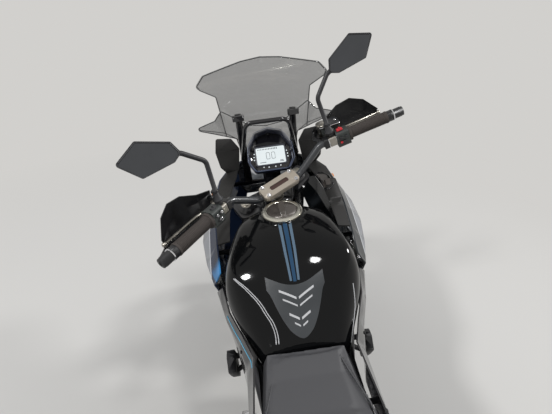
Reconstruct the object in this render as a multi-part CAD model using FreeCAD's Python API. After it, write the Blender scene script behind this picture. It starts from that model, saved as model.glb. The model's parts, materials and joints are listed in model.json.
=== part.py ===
"""Mid-size adventure motorcycle, parked on its side stand with the steering on its left stop.

Pieces are modelled in an upright frame in millimetres: +X forward from the rear axle's line, +Y left, +Z up
from the ground. Steered pieces are turned to the left stop, the whole machine is leaned on the stand, and the
origin goes to the middle of the footprint of its bounding box, on the floor.
"""
import FreeCAD
import Part
import math
import os
from functools import lru_cache

V = FreeCAD.Vector

# Driving dimensions, in millimetres and degrees
WHEELBASE = 1415.0
RAKE = 25.0
TRAIL = 108.0
STEER_LOCK = 29.0
LEAN = 9.6
FRONT_TYRE_RADIUS = 300.0
REAR_TYRE_RADIUS = 312.0
FRONT_TYRE_WIDTH = 120.0
REAR_TYRE_WIDTH = 160.0
RIM_SEAT_RADIUS = 216.0
FRONT_RIM_WIDTH = 104.0
REAR_RIM_WIDTH = 130.0
FLANGE = 6.0             # thickness of a rim's flange
FLANGE_HEIGHT = 12.0
TREAD_THICKNESS = 12.0
BEAD_BASE = 16.0
FORK_SPREAD = 105.0
FORK_TUBE_RADIUS = 27.0
STANCHION_RADIUS = 20.5
BAR_RADIUS = 11.1
GRIP_RADIUS = 16.5
AXLE_RADIUS = 10.0
AXLE_BORE = 6.5
FRONT_DISC_RADIUS = 150.0
REAR_DISC_RADIUS = 125.0
DISC_THICKNESS = 4.5
CHAIN_PITCH = 15.875
REAR_TEETH = 48
REAR_HUB_HALF = 71.7
CHAIN_LINE = 97.0
PIVOT_X = 585.0
PIVOT_Z = 400.0
PIVOT_RADIUS = 12.0
ENGINE_HALF = 112.0      # half width of the crankcase
PLATE_THICKNESS = 22.0
HEAD_TUBE_RADIUS = 33.0
STEM_RADIUS = 17.9
RAIL_RADIUS = 12.0
TANK_REAR_X = 592.0
SEAT_SPLIT_X = 300.0
PANEL_WALL = 4.0
FIT = 0.1          # radial clearance of a clamped or threaded-on piece
GAP = 0.3          # seat clearance between pieces that touch
RUN = 5.0          # clearance of a moving piece

# Values worked out from them
RAKE_RAD = math.radians(RAKE)
AXIS_GROUND_X = WHEELBASE + TRAIL
AXLE_S = TRAIL * math.sin(RAKE_RAD) + FRONT_TYRE_RADIUS * math.cos(RAKE_RAD)
FORK_OFFSET = FRONT_TYRE_RADIUS * math.sin(RAKE_RAD) - TRAIL * math.cos(RAKE_RAD)
SPROCKET_PITCH_RADIUS = CHAIN_PITCH / 2 / math.sin(math.pi / REAR_TEETH)
PLATE_Y0 = ENGINE_HALF + GAP
PLATE_Y1 = PLATE_Y0 + PLATE_THICKNESS
ARM_Y0 = CHAIN_LINE + 15     # inner face of the swingarm's arms
ARM_Y1 = ARM_Y0 + 26


# Shape helpers

def rounded(points, radius, closed=True):
    """Edges through the points, with each corner an arc of the radius, or smaller where a run is short."""
    count = len(points)
    corners = range(count) if closed else range(1, count - 1)
    legs = {}
    for i in corners:
        here, before, after = points[i], points[i - 1], points[(i + 1) % count]
        u, v = (before - here), (after - here)
        shorter = min(u.Length, v.Length)
        u.normalize()
        v.normalize()
        half = u.getAngle(v) / 2
        if half > math.pi / 2 - 1e-4 or radius <= 0:
            legs[i] = (here, None, here)
            continue
        leg = min(radius / math.tan(half), 0.48 * shorter)
        r = leg * math.tan(half)
        middle = (u + v).normalize()
        centre = here + middle * (r / math.sin(half))
        legs[i] = (here + u * leg, centre - middle * r, here + v * leg)
    edges, last = [], None
    order = list(range(count)) + ([0] if closed else [])
    for k, i in enumerate(order):
        start, mid, end = legs.get(i, (points[i], None, points[i]))
        if last is not None and last.distanceToPoint(start) > 1e-6:
            edges.append(Part.LineSegment(last, start).toShape())
        if mid is not None and not (closed and k == count):
            edges.append(Part.Arc(start, mid, end).toShape())
        last = end
    return edges


def rounded_wire(points, radius):
    return Part.Wire(Part.__sortEdges__(rounded(points, radius)))


def pipe(points, radius, bend=40.0):
    """A round bar along straight runs joined by tangent arcs."""
    path = Part.Wire(rounded(points, bend, closed=False))
    start = Part.Wire(Part.makeCircle(radius, points[0], points[1] - points[0]))
    return path.makePipeShell([start], True, False)


def rod(a, b, radius):
    return Part.makeCylinder(radius, (b - a).Length, a, b - a)


def across(x, z, y0, y1, radius):
    """A round bar along Y."""
    return rod(V(x, y0, z), V(x, y1, z), radius)


def side_prism(outline, y0, y1, radius=0.0):
    """An outline of (x, z) pairs, extruded from y0 to y1."""
    wire = rounded_wire([V(x, y0, z) for x, z in outline], radius)
    return Part.Face(wire).extrude(V(0, y1 - y0, 0))


def top_prism(outline, z0, z1, radius=0.0):
    """An outline of (x, y) pairs, extruded from z0 to z1."""
    wire = rounded_wire([V(x, y, z0) for x, y in outline], radius)
    return Part.Face(wire).extrude(V(0, 0, z1 - z0))


def front_prism(outline, x0, x1, radius=0.0):
    """An outline of (y, z) pairs, extruded from x0 to x1."""
    wire = rounded_wire([V(x0, y, z) for y, z in outline], radius)
    return Part.Face(wire).extrude(V(x1 - x0, 0, 0))


def block(x0, x1, y0, y1, z0, z1, radius=0.0):
    """A block with its four upright edges rounded."""
    return top_prism([(x0, y0), (x1, y0), (x1, y1), (x0, y1)], z0, z1, radius)


def flip(shape):
    """The same piece on the other side of the machine."""
    return shape.mirror(V(0, 0, 0), V(0, 1, 0))


def pair(shape):
    return Part.makeCompound([shape, flip(shape)])


def biggest(shape):
    return max(shape.Solids, key=lambda s: s.Volume)


def join(*shapes):
    first, *rest = shapes
    return first.fuse(rest).removeSplitter() if rest else first


def turned(shape, centre, axis, degrees):
    copy = shape.copy()
    copy.rotate(centre, axis, degrees)
    return copy


def spin_profile(outline, x, z):
    """An outline of (radius, y) pairs turned about the line along Y through (x, z)."""
    wire = Part.makePolygon([V(x, y, z + r) for r, y in outline + outline[:1]])
    return Part.Face(wire).revolve(V(x, 0, z), V(0, 1, 0), 360)


def in_head(shape):
    """Places a piece drawn about the steering axis: x is forward of it, z is along it from the ground."""
    copy = shape.copy()
    copy.rotate(V(0, 0, 0), V(0, 1, 0), -RAKE)
    copy.translate(V(AXIS_GROUND_X, 0, 0))
    return copy


def head_point(n, y, s):
    """The upright-frame point that lies n forward of the steering axis and s along it."""
    return V(AXIS_GROUND_X - s * math.sin(RAKE_RAD) + n * math.cos(RAKE_RAD), y,
             s * math.cos(RAKE_RAD) + n * math.sin(RAKE_RAD))


# Where the machine stands

def steering_turn():
    """Turn to the left stop, about the steering axis."""
    axis = V(-math.sin(RAKE_RAD), 0, math.cos(RAKE_RAD))
    return FreeCAD.Placement(V(0, 0, 0), FreeCAD.Rotation(axis, STEER_LOCK), V(AXIS_GROUND_X, 0, 0))


def lowest(centre, axle, ring, crown):
    """Height of the lowest point of a tyre whose crown arc runs round a ring."""
    return centre.z - ring * math.sqrt(1 - axle.z ** 2) - crown


def parked_pose():
    """Lean and pitch that set both tyres on the floor, with the steering on its stop."""
    steer = steering_turn()
    lean = FreeCAD.Rotation(V(1, 0, 0), -LEAN)
    front = steer.multVec(V(WHEELBASE, 0, FRONT_TYRE_RADIUS))
    front_axle = steer.Rotation.multVec(V(0, 1, 0))
    rear = V(0, 0, REAR_TYRE_RADIUS)
    low, high = -5.0, 5.0
    for _ in range(60):
        pitch = (low + high) / 2
        turn = FreeCAD.Rotation(V(0, 1, 0), pitch).multiply(lean)
        f = lowest(turn.multVec(front), turn.multVec(front_axle),
                   FRONT_TYRE_RADIUS - FRONT_TYRE_WIDTH / 2, FRONT_TYRE_WIDTH / 2)
        r = lowest(turn.multVec(rear), turn.multVec(V(0, 1, 0)),
                   REAR_TYRE_RADIUS - REAR_TYRE_WIDTH / 2, REAR_TYRE_WIDTH / 2)
        if f > r:
            low = pitch
        else:
            high = pitch
    return FreeCAD.Placement(V(0, 0, -r), turn)


# Wheels

def tyre(x, radius, width, rim_width):
    """A closed tyre section: round crown, sidewalls down to the beads."""
    crown = width / 2
    bead = rim_width / 2 - FLANGE - 3
    seat = RIM_SEAT_RADIUS + FIT
    lip = RIM_SEAT_RADIUS + FLANGE_HEIGHT + GAP
    edge = rim_width / 2 - 1
    inner = bead - BEAD_BASE
    ring = radius - crown

    def at(r, y):
        return V(x, y, radius + r)
    edges = [Part.Arc(at(ring, -crown), at(radius, 0), at(ring, crown)).toShape(),
             Part.Arc(at(ring, crown), at((ring + lip) / 2 + 1, crown - 1), at(lip, edge)).toShape(),
             Part.LineSegment(at(lip, edge), at(lip, bead)).toShape(),
             Part.LineSegment(at(lip, bead), at(seat, bead)).toShape(),
             Part.LineSegment(at(seat, bead), at(seat, inner)).toShape(),
             Part.LineSegment(at(seat, inner), at(ring, inner + 4)).toShape(),
             Part.Arc(at(ring, inner + 4), at(radius - TREAD_THICKNESS, 0), at(ring, -inner - 4)).toShape(),
             Part.LineSegment(at(ring, -inner - 4), at(seat, -inner)).toShape(),
             Part.LineSegment(at(seat, -inner), at(seat, -bead)).toShape(),
             Part.LineSegment(at(seat, -bead), at(lip, -bead)).toShape(),
             Part.LineSegment(at(lip, -bead), at(lip, -edge)).toShape(),
             Part.Arc(at(lip, -edge), at((ring + lip) / 2 + 1, 1 - crown), at(ring, -crown)).toShape()]
    face = Part.Face(Part.Wire(edges))
    return face.revolve(V(x, 0, radius), V(0, 1, 0), 360)


def rim(x, radius, rim_width, hub_left, hub_right, spokes=5):
    """A cast wheel: channel rim, a hub bored for its axle, and forked spokes."""
    w = rim_width / 2
    seat = RIM_SEAT_RADIUS
    well = seat - 18
    top = seat + FLANGE_HEIGHT
    barrel = [(seat, -w + FLANGE + 2), (top, -w + FLANGE), (top, -w), (seat - 8, -w), (well - 8, -w + 22),
              (well - 8, w - 22), (seat - 8, w), (top, w), (top, w - FLANGE), (seat, w - FLANGE - 2),
              (seat, w - 25), (well, w - 34), (well, 34 - w), (seat, 25 - w)]
    hoop = spin_profile(barrel, x, radius)
    hub = join(across(x, radius, -hub_right, hub_left, 34), across(x, radius, hub_left - 9, hub_left, 46),
               across(x, radius, -hub_right, 9 - hub_right, 46))
    arms = []
    for i in range(spokes):
        for side in (-1, 1):
            wire = rounded_wire([V(x - 10, -15, radius + 20), V(x + 10, -15, radius + 20),
                                 V(x + 10, 15, radius + 20), V(x - 10, 15, radius + 20)], 4)
            tip = rounded_wire([V(x + side * 34 - 8, -11, radius + well - 6),
                                V(x + side * 34 + 8, -11, radius + well - 6),
                                V(x + side * 34 + 8, 11, radius + well - 6),
                                V(x + side * 34 - 8, 11, radius + well - 6)], 3)
            arm = Part.makeLoft([wire, tip], True, True)
            arms.append(turned(arm, V(x, 0, radius), V(0, 1, 0), 360 / spokes * i))
    bore = across(x, radius, -hub_right - 1, hub_left + 1, AXLE_RADIUS + FIT)
    return join(hoop, hub, *arms).cut(bore)


def disc(x, z, y, radius, bore):
    """A wave-edged brake disc with slots, centred on y."""
    waves = 10
    points = []
    for i in range(waves * 2):
        r = radius if i % 2 == 0 else radius - 7
        a = math.pi * i / waves
        points.append(V(x + r * math.cos(a), y - DISC_THICKNESS / 2, z + r * math.sin(a)))
    plate = Part.Face(rounded_wire(points, 14)).extrude(V(0, DISC_THICKNESS, 0))
    cuts = [across(x, z, y - 10, y + 10, bore)]
    for i in range(waves):
        hole = across(x, z + radius - 26, y - 10, y + 10, 6.5)
        cuts.append(turned(hole, V(x, 0, z), V(0, 1, 0), 360 / waves * (i + 0.5)))
    return plate.cut(cuts)


def disc_carrier(x, z, y, y_hub, disc_bore):
    """The dish that carries a disc on the hub."""
    ring = across(x, z, y - 2, y + 2, disc_bore - GAP)
    inner, outer = sorted((y_hub, y - 2))
    boss = across(x, z, inner, outer, 46)
    arms = ring.cut([turned(across(x + 58, z, y - 3, y + 3, 13), V(x, 0, z), V(0, 1, 0), 60 * i)
                     for i in range(6)])
    return join(arms, boss).cut(across(x, z, min(y, y_hub) - 5, max(y, y_hub) + 5, 35))


def sprocket():
    """The rear chain wheel, with a gap between teeth for each roller."""
    y = CHAIN_LINE
    roller = 5.2
    tip = SPROCKET_PITCH_RADIUS + 4
    blank = across(0, REAR_TYRE_RADIUS, y - 2.9, y + 2.9, tip)
    gaps = []
    for i in range(REAR_TEETH):
        a = 2 * math.pi * i / REAR_TEETH
        gaps.append(across(SPROCKET_PITCH_RADIUS * math.cos(a), REAR_TYRE_RADIUS + SPROCKET_PITCH_RADIUS
                           * math.sin(a), y - 4, y + 4, roller))
    windows = [turned(across(0, REAR_TYRE_RADIUS + 84, y - 4, y + 4, 20), V(0, 0, REAR_TYRE_RADIUS),
                      V(0, 1, 0), 60 * i) for i in range(6)]
    plate = blank.cut(gaps + windows)
    boss = across(0, REAR_TYRE_RADIUS, 72, y - 2.9, 60)
    return join(plate, boss).cut(across(0, REAR_TYRE_RADIUS, 60, y + 10, 35))


# Front end, on the steering body

YOKE_S = 1085.0
TUBE_END_S = 645.0      # lower end of the outer fork tubes
LOWER_YOKE_S = 855.0
LUG_HALF = 17.0
FRONT_HUB_HALF = 60.0
BAR_S = 1160.0
BAR_N = -14.0
CLAMP_HALF = 66.0


def yokes():
    """Both fork clamps, the stem between them and the lower halves of the bar clamps."""
    reach = FORK_SPREAD + FORK_TUBE_RADIUS + 9
    rear, front, waist = FORK_OFFSET - 30, FORK_OFFSET + 38, FORK_OFFSET + 26
    back = [(-34, -30), (-34, 30), (rear, reach), (front, reach), (waist, 40), (waist, -40), (front, -reach),
            (rear, -reach)]
    top = top_prism(back, YOKE_S - 11, YOKE_S + 11, 14)
    bottom = top_prism(back, LOWER_YOKE_S - 18, LOWER_YOKE_S + 18, 14)
    stem = rod(V(0, 0, LOWER_YOKE_S), V(0, 0, YOKE_S + 16), STEM_RADIUS)
    risers = [block(BAR_N - 17, BAR_N + 17, y - 15, y + 15, YOKE_S + 11, BAR_S - GAP / 2, 5) for y in (-52, 52)]
    holes = [rod(V(FORK_OFFSET, y, 800), V(FORK_OFFSET, y, 1200), FORK_TUBE_RADIUS + FIT)
             for y in (-FORK_SPREAD, FORK_SPREAD)]
    seat = rod(V(BAR_N, -90, BAR_S), V(BAR_N, 90, BAR_S), BAR_RADIUS + FIT)
    return join(top, bottom, stem, *risers).cut(holes + [seat])


def bar_clamp():
    """The one-piece upper bar clamp with its long slot."""
    body = block(BAR_N - 25, BAR_N + 25, -CLAMP_HALF, CLAMP_HALF, BAR_S + GAP / 2, BAR_S + 20, 12)
    slot = block(BAR_N - 8, BAR_N + 8, -34, 34, BAR_S - 5, BAR_S + 30, 6)
    seat = rod(V(BAR_N, -90, BAR_S), V(BAR_N, 90, BAR_S), BAR_RADIUS + FIT)
    return body.cut([seat, slot])


def fork_tubes():
    """The thick upper tubes of the upside-down fork with their caps."""
    tubes = []
    for y in (-FORK_SPREAD, FORK_SPREAD):
        tube = rod(V(FORK_OFFSET, y, TUBE_END_S + 15), V(FORK_OFFSET, y, YOKE_S + 22), FORK_TUBE_RADIUS)
        neck = rod(V(FORK_OFFSET, y, TUBE_END_S), V(FORK_OFFSET, y, TUBE_END_S + 15), FORK_TUBE_RADIUS - 2)
        cap = rod(V(FORK_OFFSET, y, YOKE_S + 22), V(FORK_OFFSET, y, YOKE_S + 30), FORK_TUBE_RADIUS - 8)
        tubes.append(join(tube, neck, cap))
    return Part.makeCompound(tubes)


def stanchions():
    """The sliding lower tubes with the axle lugs and caliper ears."""
    legs = []
    for side in (-1, 1):
        y = side * FORK_SPREAD
        tube = rod(V(FORK_OFFSET, y, AXLE_S + 40), V(FORK_OFFSET, y, TUBE_END_S - FIT), STANCHION_RADIUS)
        lug = side_prism([(-24, AXLE_S - 26), (26, AXLE_S - 26), (30, AXLE_S + 20), (26, AXLE_S + 60),
                          (-26, AXLE_S + 60), (-40, AXLE_S + 105), (-58, AXLE_S + 105), (-58, AXLE_S + 85)],
                         y - LUG_HALF, y + LUG_HALF, 8)
        lug.translate(V(FORK_OFFSET, 0, 0))
        bore = rod(V(FORK_OFFSET, y - 30, AXLE_S), V(FORK_OFFSET, y + 30, AXLE_S), AXLE_RADIUS + FIT)
        legs.append(join(tube, lug).cut(bore))
    return Part.makeCompound(legs)


def front_axle():
    """A hollow axle with a hexagonal head."""
    reach = FORK_SPREAD + 26
    shaft = rod(V(FORK_OFFSET, -reach, AXLE_S), V(FORK_OFFSET, reach, AXLE_S), AXLE_RADIUS)
    head = rod(V(FORK_OFFSET, FORK_SPREAD + LUG_HALF + GAP, AXLE_S), V(FORK_OFFSET, reach, AXLE_S), 15)
    spacers = [rod(V(FORK_OFFSET, side * (FRONT_HUB_HALF + 1), AXLE_S),
                   V(FORK_OFFSET, side * (FORK_SPREAD - LUG_HALF - GAP), AXLE_S), 15) for side in (-1, 1)]
    bore = rod(V(FORK_OFFSET, -reach - 5, AXLE_S), V(FORK_OFFSET, reach + 5, AXLE_S), AXLE_BORE)
    return join(shaft, head, *spacers).cut(bore)


FRONT_DISC_Y = 74.0
CALIPER_ANGLE = 150.0      # from straight ahead of the axle, up and over


def caliper(x, z, y, radius, angle, reach_y):
    """A two-piston caliper that straddles a disc at an angle about the axle; reach_y is its outer face."""
    side = 1 if reach_y > y else -1
    low, high = sorted((y - side * 24, reach_y))
    body = side_prism([(radius - 50, -42), (radius + 16, -52), (radius + 22, 0), (radius + 16, 52),
                       (radius - 50, 42), (radius - 58, 0)], low, high, 10)
    room = DISC_THICKNESS / 2 + RUN
    slot = side_prism([(0, -90), (radius + 6, -90), (radius + 6, 90), (0, 90)], y - room, y + room)
    placed = body.cut(slot)
    placed.rotate(V(0, 0, 0), V(0, 1, 0), -angle)
    placed.translate(V(x, 0, z))
    return placed


def front_calipers():
    left = caliper(WHEELBASE, FRONT_TYRE_RADIUS, FRONT_DISC_Y, FRONT_DISC_RADIUS, CALIPER_ANGLE,
                   FORK_SPREAD + 14)
    legs = in_head(stanchions())
    left = left.cut(legs)
    return pair(max(left.Solids, key=lambda s: s.Volume))


def front_mudguard():
    """An arched guard over the front tyre with side plates to the fork legs."""
    centre = V(WHEELBASE, 0, FRONT_TYRE_RADIUS)
    inner = FRONT_TYRE_RADIUS + 14
    wall = 3.0
    half = FRONT_TYRE_WIDTH / 2 + 12

    def skin(r, drop):
        """The cross-section at radius r above the axle."""
        return [V(WHEELBASE, -half, centre.z + r - drop), V(WHEELBASE, -half * 0.62, centre.z + r - 8),
                V(WHEELBASE, 0, centre.z + r), V(WHEELBASE, half * 0.62, centre.z + r - 8),
                V(WHEELBASE, half, centre.z + r - drop)]
    outer_line, inner_line = skin(inner + wall, 34), skin(inner, 36)
    section = Part.Face(Part.makePolygon(outer_line + inner_line[::-1] + outer_line[:1]))
    section.rotate(centre, V(0, 1, 0), 32)
    arch = section.revolve(centre, V(0, 1, 0), -112)
    arch = Part.makeSolid(arch) if arch.ShapeType == "Shell" else arch
    tread = FRONT_TYRE_RADIUS
    stay = side_prism([(-64, tread - 54), (26, tread - 54), (52, tread), (-92, tread - 10)], half - 3, half + 3, 14)
    stay.rotate(V(0, 0, 0), V(0, 1, 0), -RAKE)
    stay.translate(centre)
    tyre_room = across(WHEELBASE, FRONT_TYRE_RADIUS, -half - 20, half + 20, FRONT_TYRE_RADIUS - 60)
    clamp_s = AXLE_S + tread - 38
    clamp = join(rod(V(FORK_OFFSET, FORK_SPREAD, clamp_s - 14), V(FORK_OFFSET, FORK_SPREAD, clamp_s + 14),
                     STANCHION_RADIUS + 8),
                 block(FORK_OFFSET - 16, FORK_OFFSET + 16, half, FORK_SPREAD, clamp_s - 12, clamp_s + 12))
    clamp = in_head(clamp.cut(rod(V(FORK_OFFSET, FORK_SPREAD, 0), V(FORK_OFFSET, FORK_SPREAD, 900),
                                  STANCHION_RADIUS + GAP)))
    side = join(stay.cut(tyre_room), clamp)
    return join(arch, side, flip(side))


# Handlebar, as points on its left half: (x, y, z) in the upright frame
BAR_CENTRE = head_point(BAR_N, 0, BAR_S)
BAR_RISE_Y = 80.0
GRIP_IN = V(954, 252, 1121)
GRIP_OUT = V(893, 380, 1132)
BAR_LINE = (GRIP_OUT - GRIP_IN).normalize()
ELBOW = GRIP_IN - BAR_LINE * 96


def along_bar(distance, dx=0.0, dz=0.0):
    """A point on the left grip's line, measured outwards from the grip's inner end."""
    return GRIP_IN + BAR_LINE * distance + V(dx, 0, dz)


def handlebar():
    left = [GRIP_OUT, ELBOW, V(BAR_CENTRE.x, BAR_RISE_Y, BAR_CENTRE.z)]
    right = [V(p.x, -p.y, p.z) for p in left[::-1]]
    return pipe(left + right, BAR_RADIUS, 34)


def grips():
    length = (GRIP_OUT - GRIP_IN).Length
    body = rod(GRIP_IN + BAR_LINE * 4, along_bar(length - 18), GRIP_RADIUS)
    flange = rod(GRIP_IN, GRIP_IN + BAR_LINE * 5, GRIP_RADIUS + 6)
    return pair(join(body, flange).cut(rod(along_bar(-60), along_bar(length + 20), BAR_RADIUS + FIT)))


def bar_ends():
    """The left bar's end weight, with the collar that the guard's arm is fixed on."""
    length = (GRIP_OUT - GRIP_IN).Length
    weight = rod(along_bar(length + GAP), along_bar(length + 26), 15)
    collar = rod(along_bar(length - 17.7), along_bar(length + GAP + 1), 17)
    return join(weight, collar).cut(rod(along_bar(-60), along_bar(length + FIT), BAR_RADIUS + FIT))


def bar_block(near, far, forward, rear, up, down, radius):
    """A housing round the left bar, between two distances from the grip's inner end."""
    side = V(0, 0, 1).cross(BAR_LINE).normalize() * -1
    rise = BAR_LINE.cross(side).normalize()
    if rise.z < 0:
        rise = rise * -1
    if side.x < 0:
        side = side * -1
    start = along_bar(near)
    points = [start + side * forward + rise * up, start - side * rear + rise * up,
              start - side * rear - rise * down, start + side * forward - rise * down]
    return Part.Face(rounded_wire(points, radius)).extrude(BAR_LINE * (far - near))


def switchgear():
    """The switch housings inboard of the grips."""
    left = bar_block(-40, -0.5, 22, 21, 24, 26, 9)
    right = bar_block(-40, -0.5, 24, 20, 24, 28, 10)
    bore = rod(along_bar(-80), along_bar(60), BAR_RADIUS + FIT)
    return Part.makeCompound([left.cut(bore), flip(right.cut(bore))])


LEVER_FORWARD = 50.0
LEVER_REACH = 142.0      # from the grip's inner end to the ball


def lever(blade_tip):
    """A perch clamped on the bar and its lever blade, ending in a ball."""
    clamp = bar_block(-63, -42, 34, 16, 16, 16, 7)
    start = along_bar(-52, LEVER_FORWARD - 6, -6)
    knee = along_bar(20, LEVER_FORWARD + 14, -6)
    tip = along_bar(blade_tip, LEVER_FORWARD + 8, -2)
    blade = pipe([start, knee, tip], 5.5, 60)
    ball = Part.makeSphere(8, tip)
    pivot = rod(start + V(0, 0, -13), start + V(0, 0, 13), 12)
    bore = rod(along_bar(-100), along_bar(60), BAR_RADIUS + FIT)
    return join(clamp, pivot, blade, ball).cut(bore)


def brake_reservoir():
    """The front brake's fluid cup, drawn on the left."""
    base = along_bar(-46, 46, 7)
    return join(rod(base, base + V(0, 0, 34), 19), rod(base + V(0, 0, 34), base + V(0, 0, 40), 21))


def hand_levers():
    """The clutch lever, and the brake lever with its reservoir, each on its perch."""
    brake = join(lever(LEVER_REACH), brake_reservoir())
    return Part.makeCompound([lever(LEVER_REACH), flip(brake)])


# Mirrors, as points on the left side in the upright frame
MIRROR_BASE = along_bar(-54, 0, 17.5)
MIRROR_BEND = V(976, 186, 1262)
MIRROR_CENTRE = V(944, 302, 1344)
MIRROR_OUTLINE = ((-77, 29), (-11, 50), (62, 7), (71, -28), (43, -38), (-43, -27))   # outward is -, inward is +


def mirror_plane():
    """The mirror's axes: across, and up, with its face towards the rider."""
    facing = V(-0.90, -0.30, 0.20).normalize()
    width = V(0, 0, 1).cross(facing).normalize()
    if width.y > 0:
        width = width * -1
    height = facing.cross(width).normalize()
    if height.z < 0:
        height = height * -1
    return facing, width, height


def mirror_loop(scale, depth):
    facing, width, height = mirror_plane()
    points = [MIRROR_CENTRE + width * (a * scale) + height * (b * scale) + facing * depth
              for a, b in MIRROR_OUTLINE]
    return rounded_wire(points, 7 * scale)


def mirror_arm():
    """The stem, which enters the housing at its inner lower corner."""
    facing, width, height = mirror_plane()
    corner = MIRROR_CENTRE + width * 74 - height * 30 - facing * 12
    inside = MIRROR_CENTRE + width * 32 - height * 12 - facing * 11
    return pipe([MIRROR_BASE, MIRROR_BEND, corner, inside], 6.5, 22)


def mirrors():
    """Angular housings, open at the back for the glass, each on its stem and base nut."""
    shell = Part.makeLoft([mirror_loop(0.62, -26), mirror_loop(0.9, -16), mirror_loop(1.0, 0)], True, True)
    base = rod(MIRROR_BASE, MIRROR_BASE + V(0, 0, 16), 11)
    recess = Part.makeLoft([mirror_loop(0.94, -3.5), mirror_loop(0.94, 3)], True, True)
    return pair(join(shell, base, mirror_arm()).cut(recess))


def mirror_glass():
    return pair(Part.makeLoft([mirror_loop(0.935, -3.4), mirror_loop(0.935, -0.8)], True, True))


# Hand guards: (distance along the grip, forward, up) on the left side
GUARD_SECTIONS = (
    # along, forward, top, bottom
    (-62, 88, 28, -18),
    (-16, 98, 38, -34),
    (34, 100, 66, -44),
    (78, 98, 72, -46),
    (114, 90, 54, -46),
    (144, 74, 12, -36),
)
GUARD_WALL = 4.0


def guard_section(distance, forward, top, bottom, lip):
    base = along_bar(distance, forward, 0)
    out, tip = V(GUARD_WALL, 0, 0), V(lip, 0, 0)
    a, b, c = base + V(0, 0, top) - tip, base + V(0, 0, (top + bottom) / 2 + 8), base + V(0, 0, bottom) - tip
    return Part.makePolygon([a, b, c, c - out, b - out, a - out, a])


def hand_guards():
    """Moulded shields ahead of the grips, each on an arm from the bar and a bracket at the bar end."""
    loops = [guard_section(d, f, t, b, 12) for d, f, t, b in GUARD_SECTIONS]
    shield = Part.makeLoft(loops, True, True)
    length = (GRIP_OUT - GRIP_IN).Length
    end = along_bar(length + 32)
    tip_at, tip_forward, _, _ = GUARD_SECTIONS[-1]
    root_at, root_forward, _, _ = GUARD_SECTIONS[0]
    outer = join(rod(along_bar(length + 25), end, 14),
                 pipe([end - BAR_LINE * 3, along_bar(length + 26, 48, -21), along_bar(tip_at - 8, tip_forward, -21)],
                      7, 18))
    inner = pipe([along_bar(-74, 10, -3), along_bar(-74, 62, 0), along_bar(root_at + 14, root_forward, 4)], 7, 18)
    clamp = bar_block(-81, -66, 16, 16, 16, 16, 6)
    bore = rod(along_bar(-140), along_bar(0), BAR_RADIUS + FIT)
    weight = bar_ends()
    return pair(join(shield, outer, inner, clamp, weight).cut(bore))


# Chassis

SPAR = (V(1066, 38, 928), V(984, 119, 857), V(775, 158, 700), V(640, 128, 520))
DOWN = (V(1126, 38, 828), V(1026, 107, 746), V(800, 158, 560), V(640, 128, 430))
SPAR_RADIUS = 17.0


@lru_cache(maxsize=None)
def main_frame():
    """A steel trellis: head tube, two tubes a side with struts, the swingarm's plates and its pivot shaft."""
    head = in_head(rod(V(0, 0, LOWER_YOKE_S + 18 + RUN), V(0, 0, YOKE_S - 11 - RUN), HEAD_TUBE_RADIUS))
    head_bore = in_head(rod(V(0, 0, 800), V(0, 0, 1200), STEM_RADIUS + FIT))
    plate = side_prism([(545, 344), (640, 328), (694, 340), (694, 500), (668, 560), (610, 560), (552, 450)],
                       PLATE_Y0, PLATE_Y1, 22)
    spar_root = V(SPAR[0].x, HEAD_TUBE_RADIUS - 8, SPAR[0].z)
    down_root = V(DOWN[0].x, HEAD_TUBE_RADIUS - 8, DOWN[0].z)
    middle = (DOWN[1] + DOWN[2]) * 0.5
    tank_pad = rod(V(985, 112, 860), V(985, 112, 920), 10)
    tank_room = fuel_tank().copy()
    tank_room.translate(V(0, 0, -GAP))
    half = [pipe([spar_root, *SPAR], SPAR_RADIUS, 50), pipe([down_root, *DOWN], SPAR_RADIUS, 50),
            pipe([SPAR[1], middle], 12, 5), pipe([SPAR[2], middle], 12, 5), plate,
            biggest(tank_pad.cut(tank_room)) if tank_pad.common(tank_room).Volume > 0 else tank_pad]
    cross = [across(630, 372, -PLATE_Y0, PLATE_Y0, 12), across(SHOCK_TOP.x + 27 + GAP, SHOCK_TOP.z, -140, 140, 12)]
    tab = fairing_tab(V(985, 110, 852))
    pose = parked_pose()
    tongue = moved(stand_tongue(pose), pose.inverse())
    tongue = biggest(tongue.cut(block(STAND_PIVOT.x - 60, STAND_PIVOT.x + 60, 0, PLATE_Y0, STAND_PIVOT.z, PIVOT_Z)))
    frame = join(head, *half, *[flip(p) for p in half], *cross, tab, flip(tab), tongue)
    shaft = across(PIVOT_X, PIVOT_Z, -PLATE_Y1 - 8, PLATE_Y1 + 8, PIVOT_RADIUS)
    return join(frame.cut([head_bore, crankcase()]), shaft)


def fairing_tab(root):
    """A peg from the frame out to the inner face of the side fairing."""
    peg = across(root.x, root.z, root.y, 300, 8)
    kept = peg.cut(panel(FAIRING_ROWS, PANEL_WALL + GAP))
    return min(kept.Solids, key=lambda s: s.CenterOfMass.y)


RAIL = (V(735, 146, 690), V(600, 112, 752), V(330, 104, 778), V(-180, 84, 800), V(-268, 52, 808))
TAIL_BRIDGE_X = -268.0


def rail_run(x):
    """The two points of the left seat rail that x lies between."""
    return next((a, b) for a, b in zip(RAIL, RAIL[1:]) if b.x <= x <= a.x)


def rail_at(x):
    """The left seat rail's middle line at x."""
    a, b = rail_run(x)
    return a + (b - a) * ((a.x - x) / (a.x - b.x))


def rail_top(x):
    """Height just above the seat rails at x."""
    a, b = rail_run(x)
    return rail_at(x).z + RAIL_RADIUS / math.cos(math.atan2(b.z - a.z, a.x - b.x)) + 2 * GAP


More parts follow.
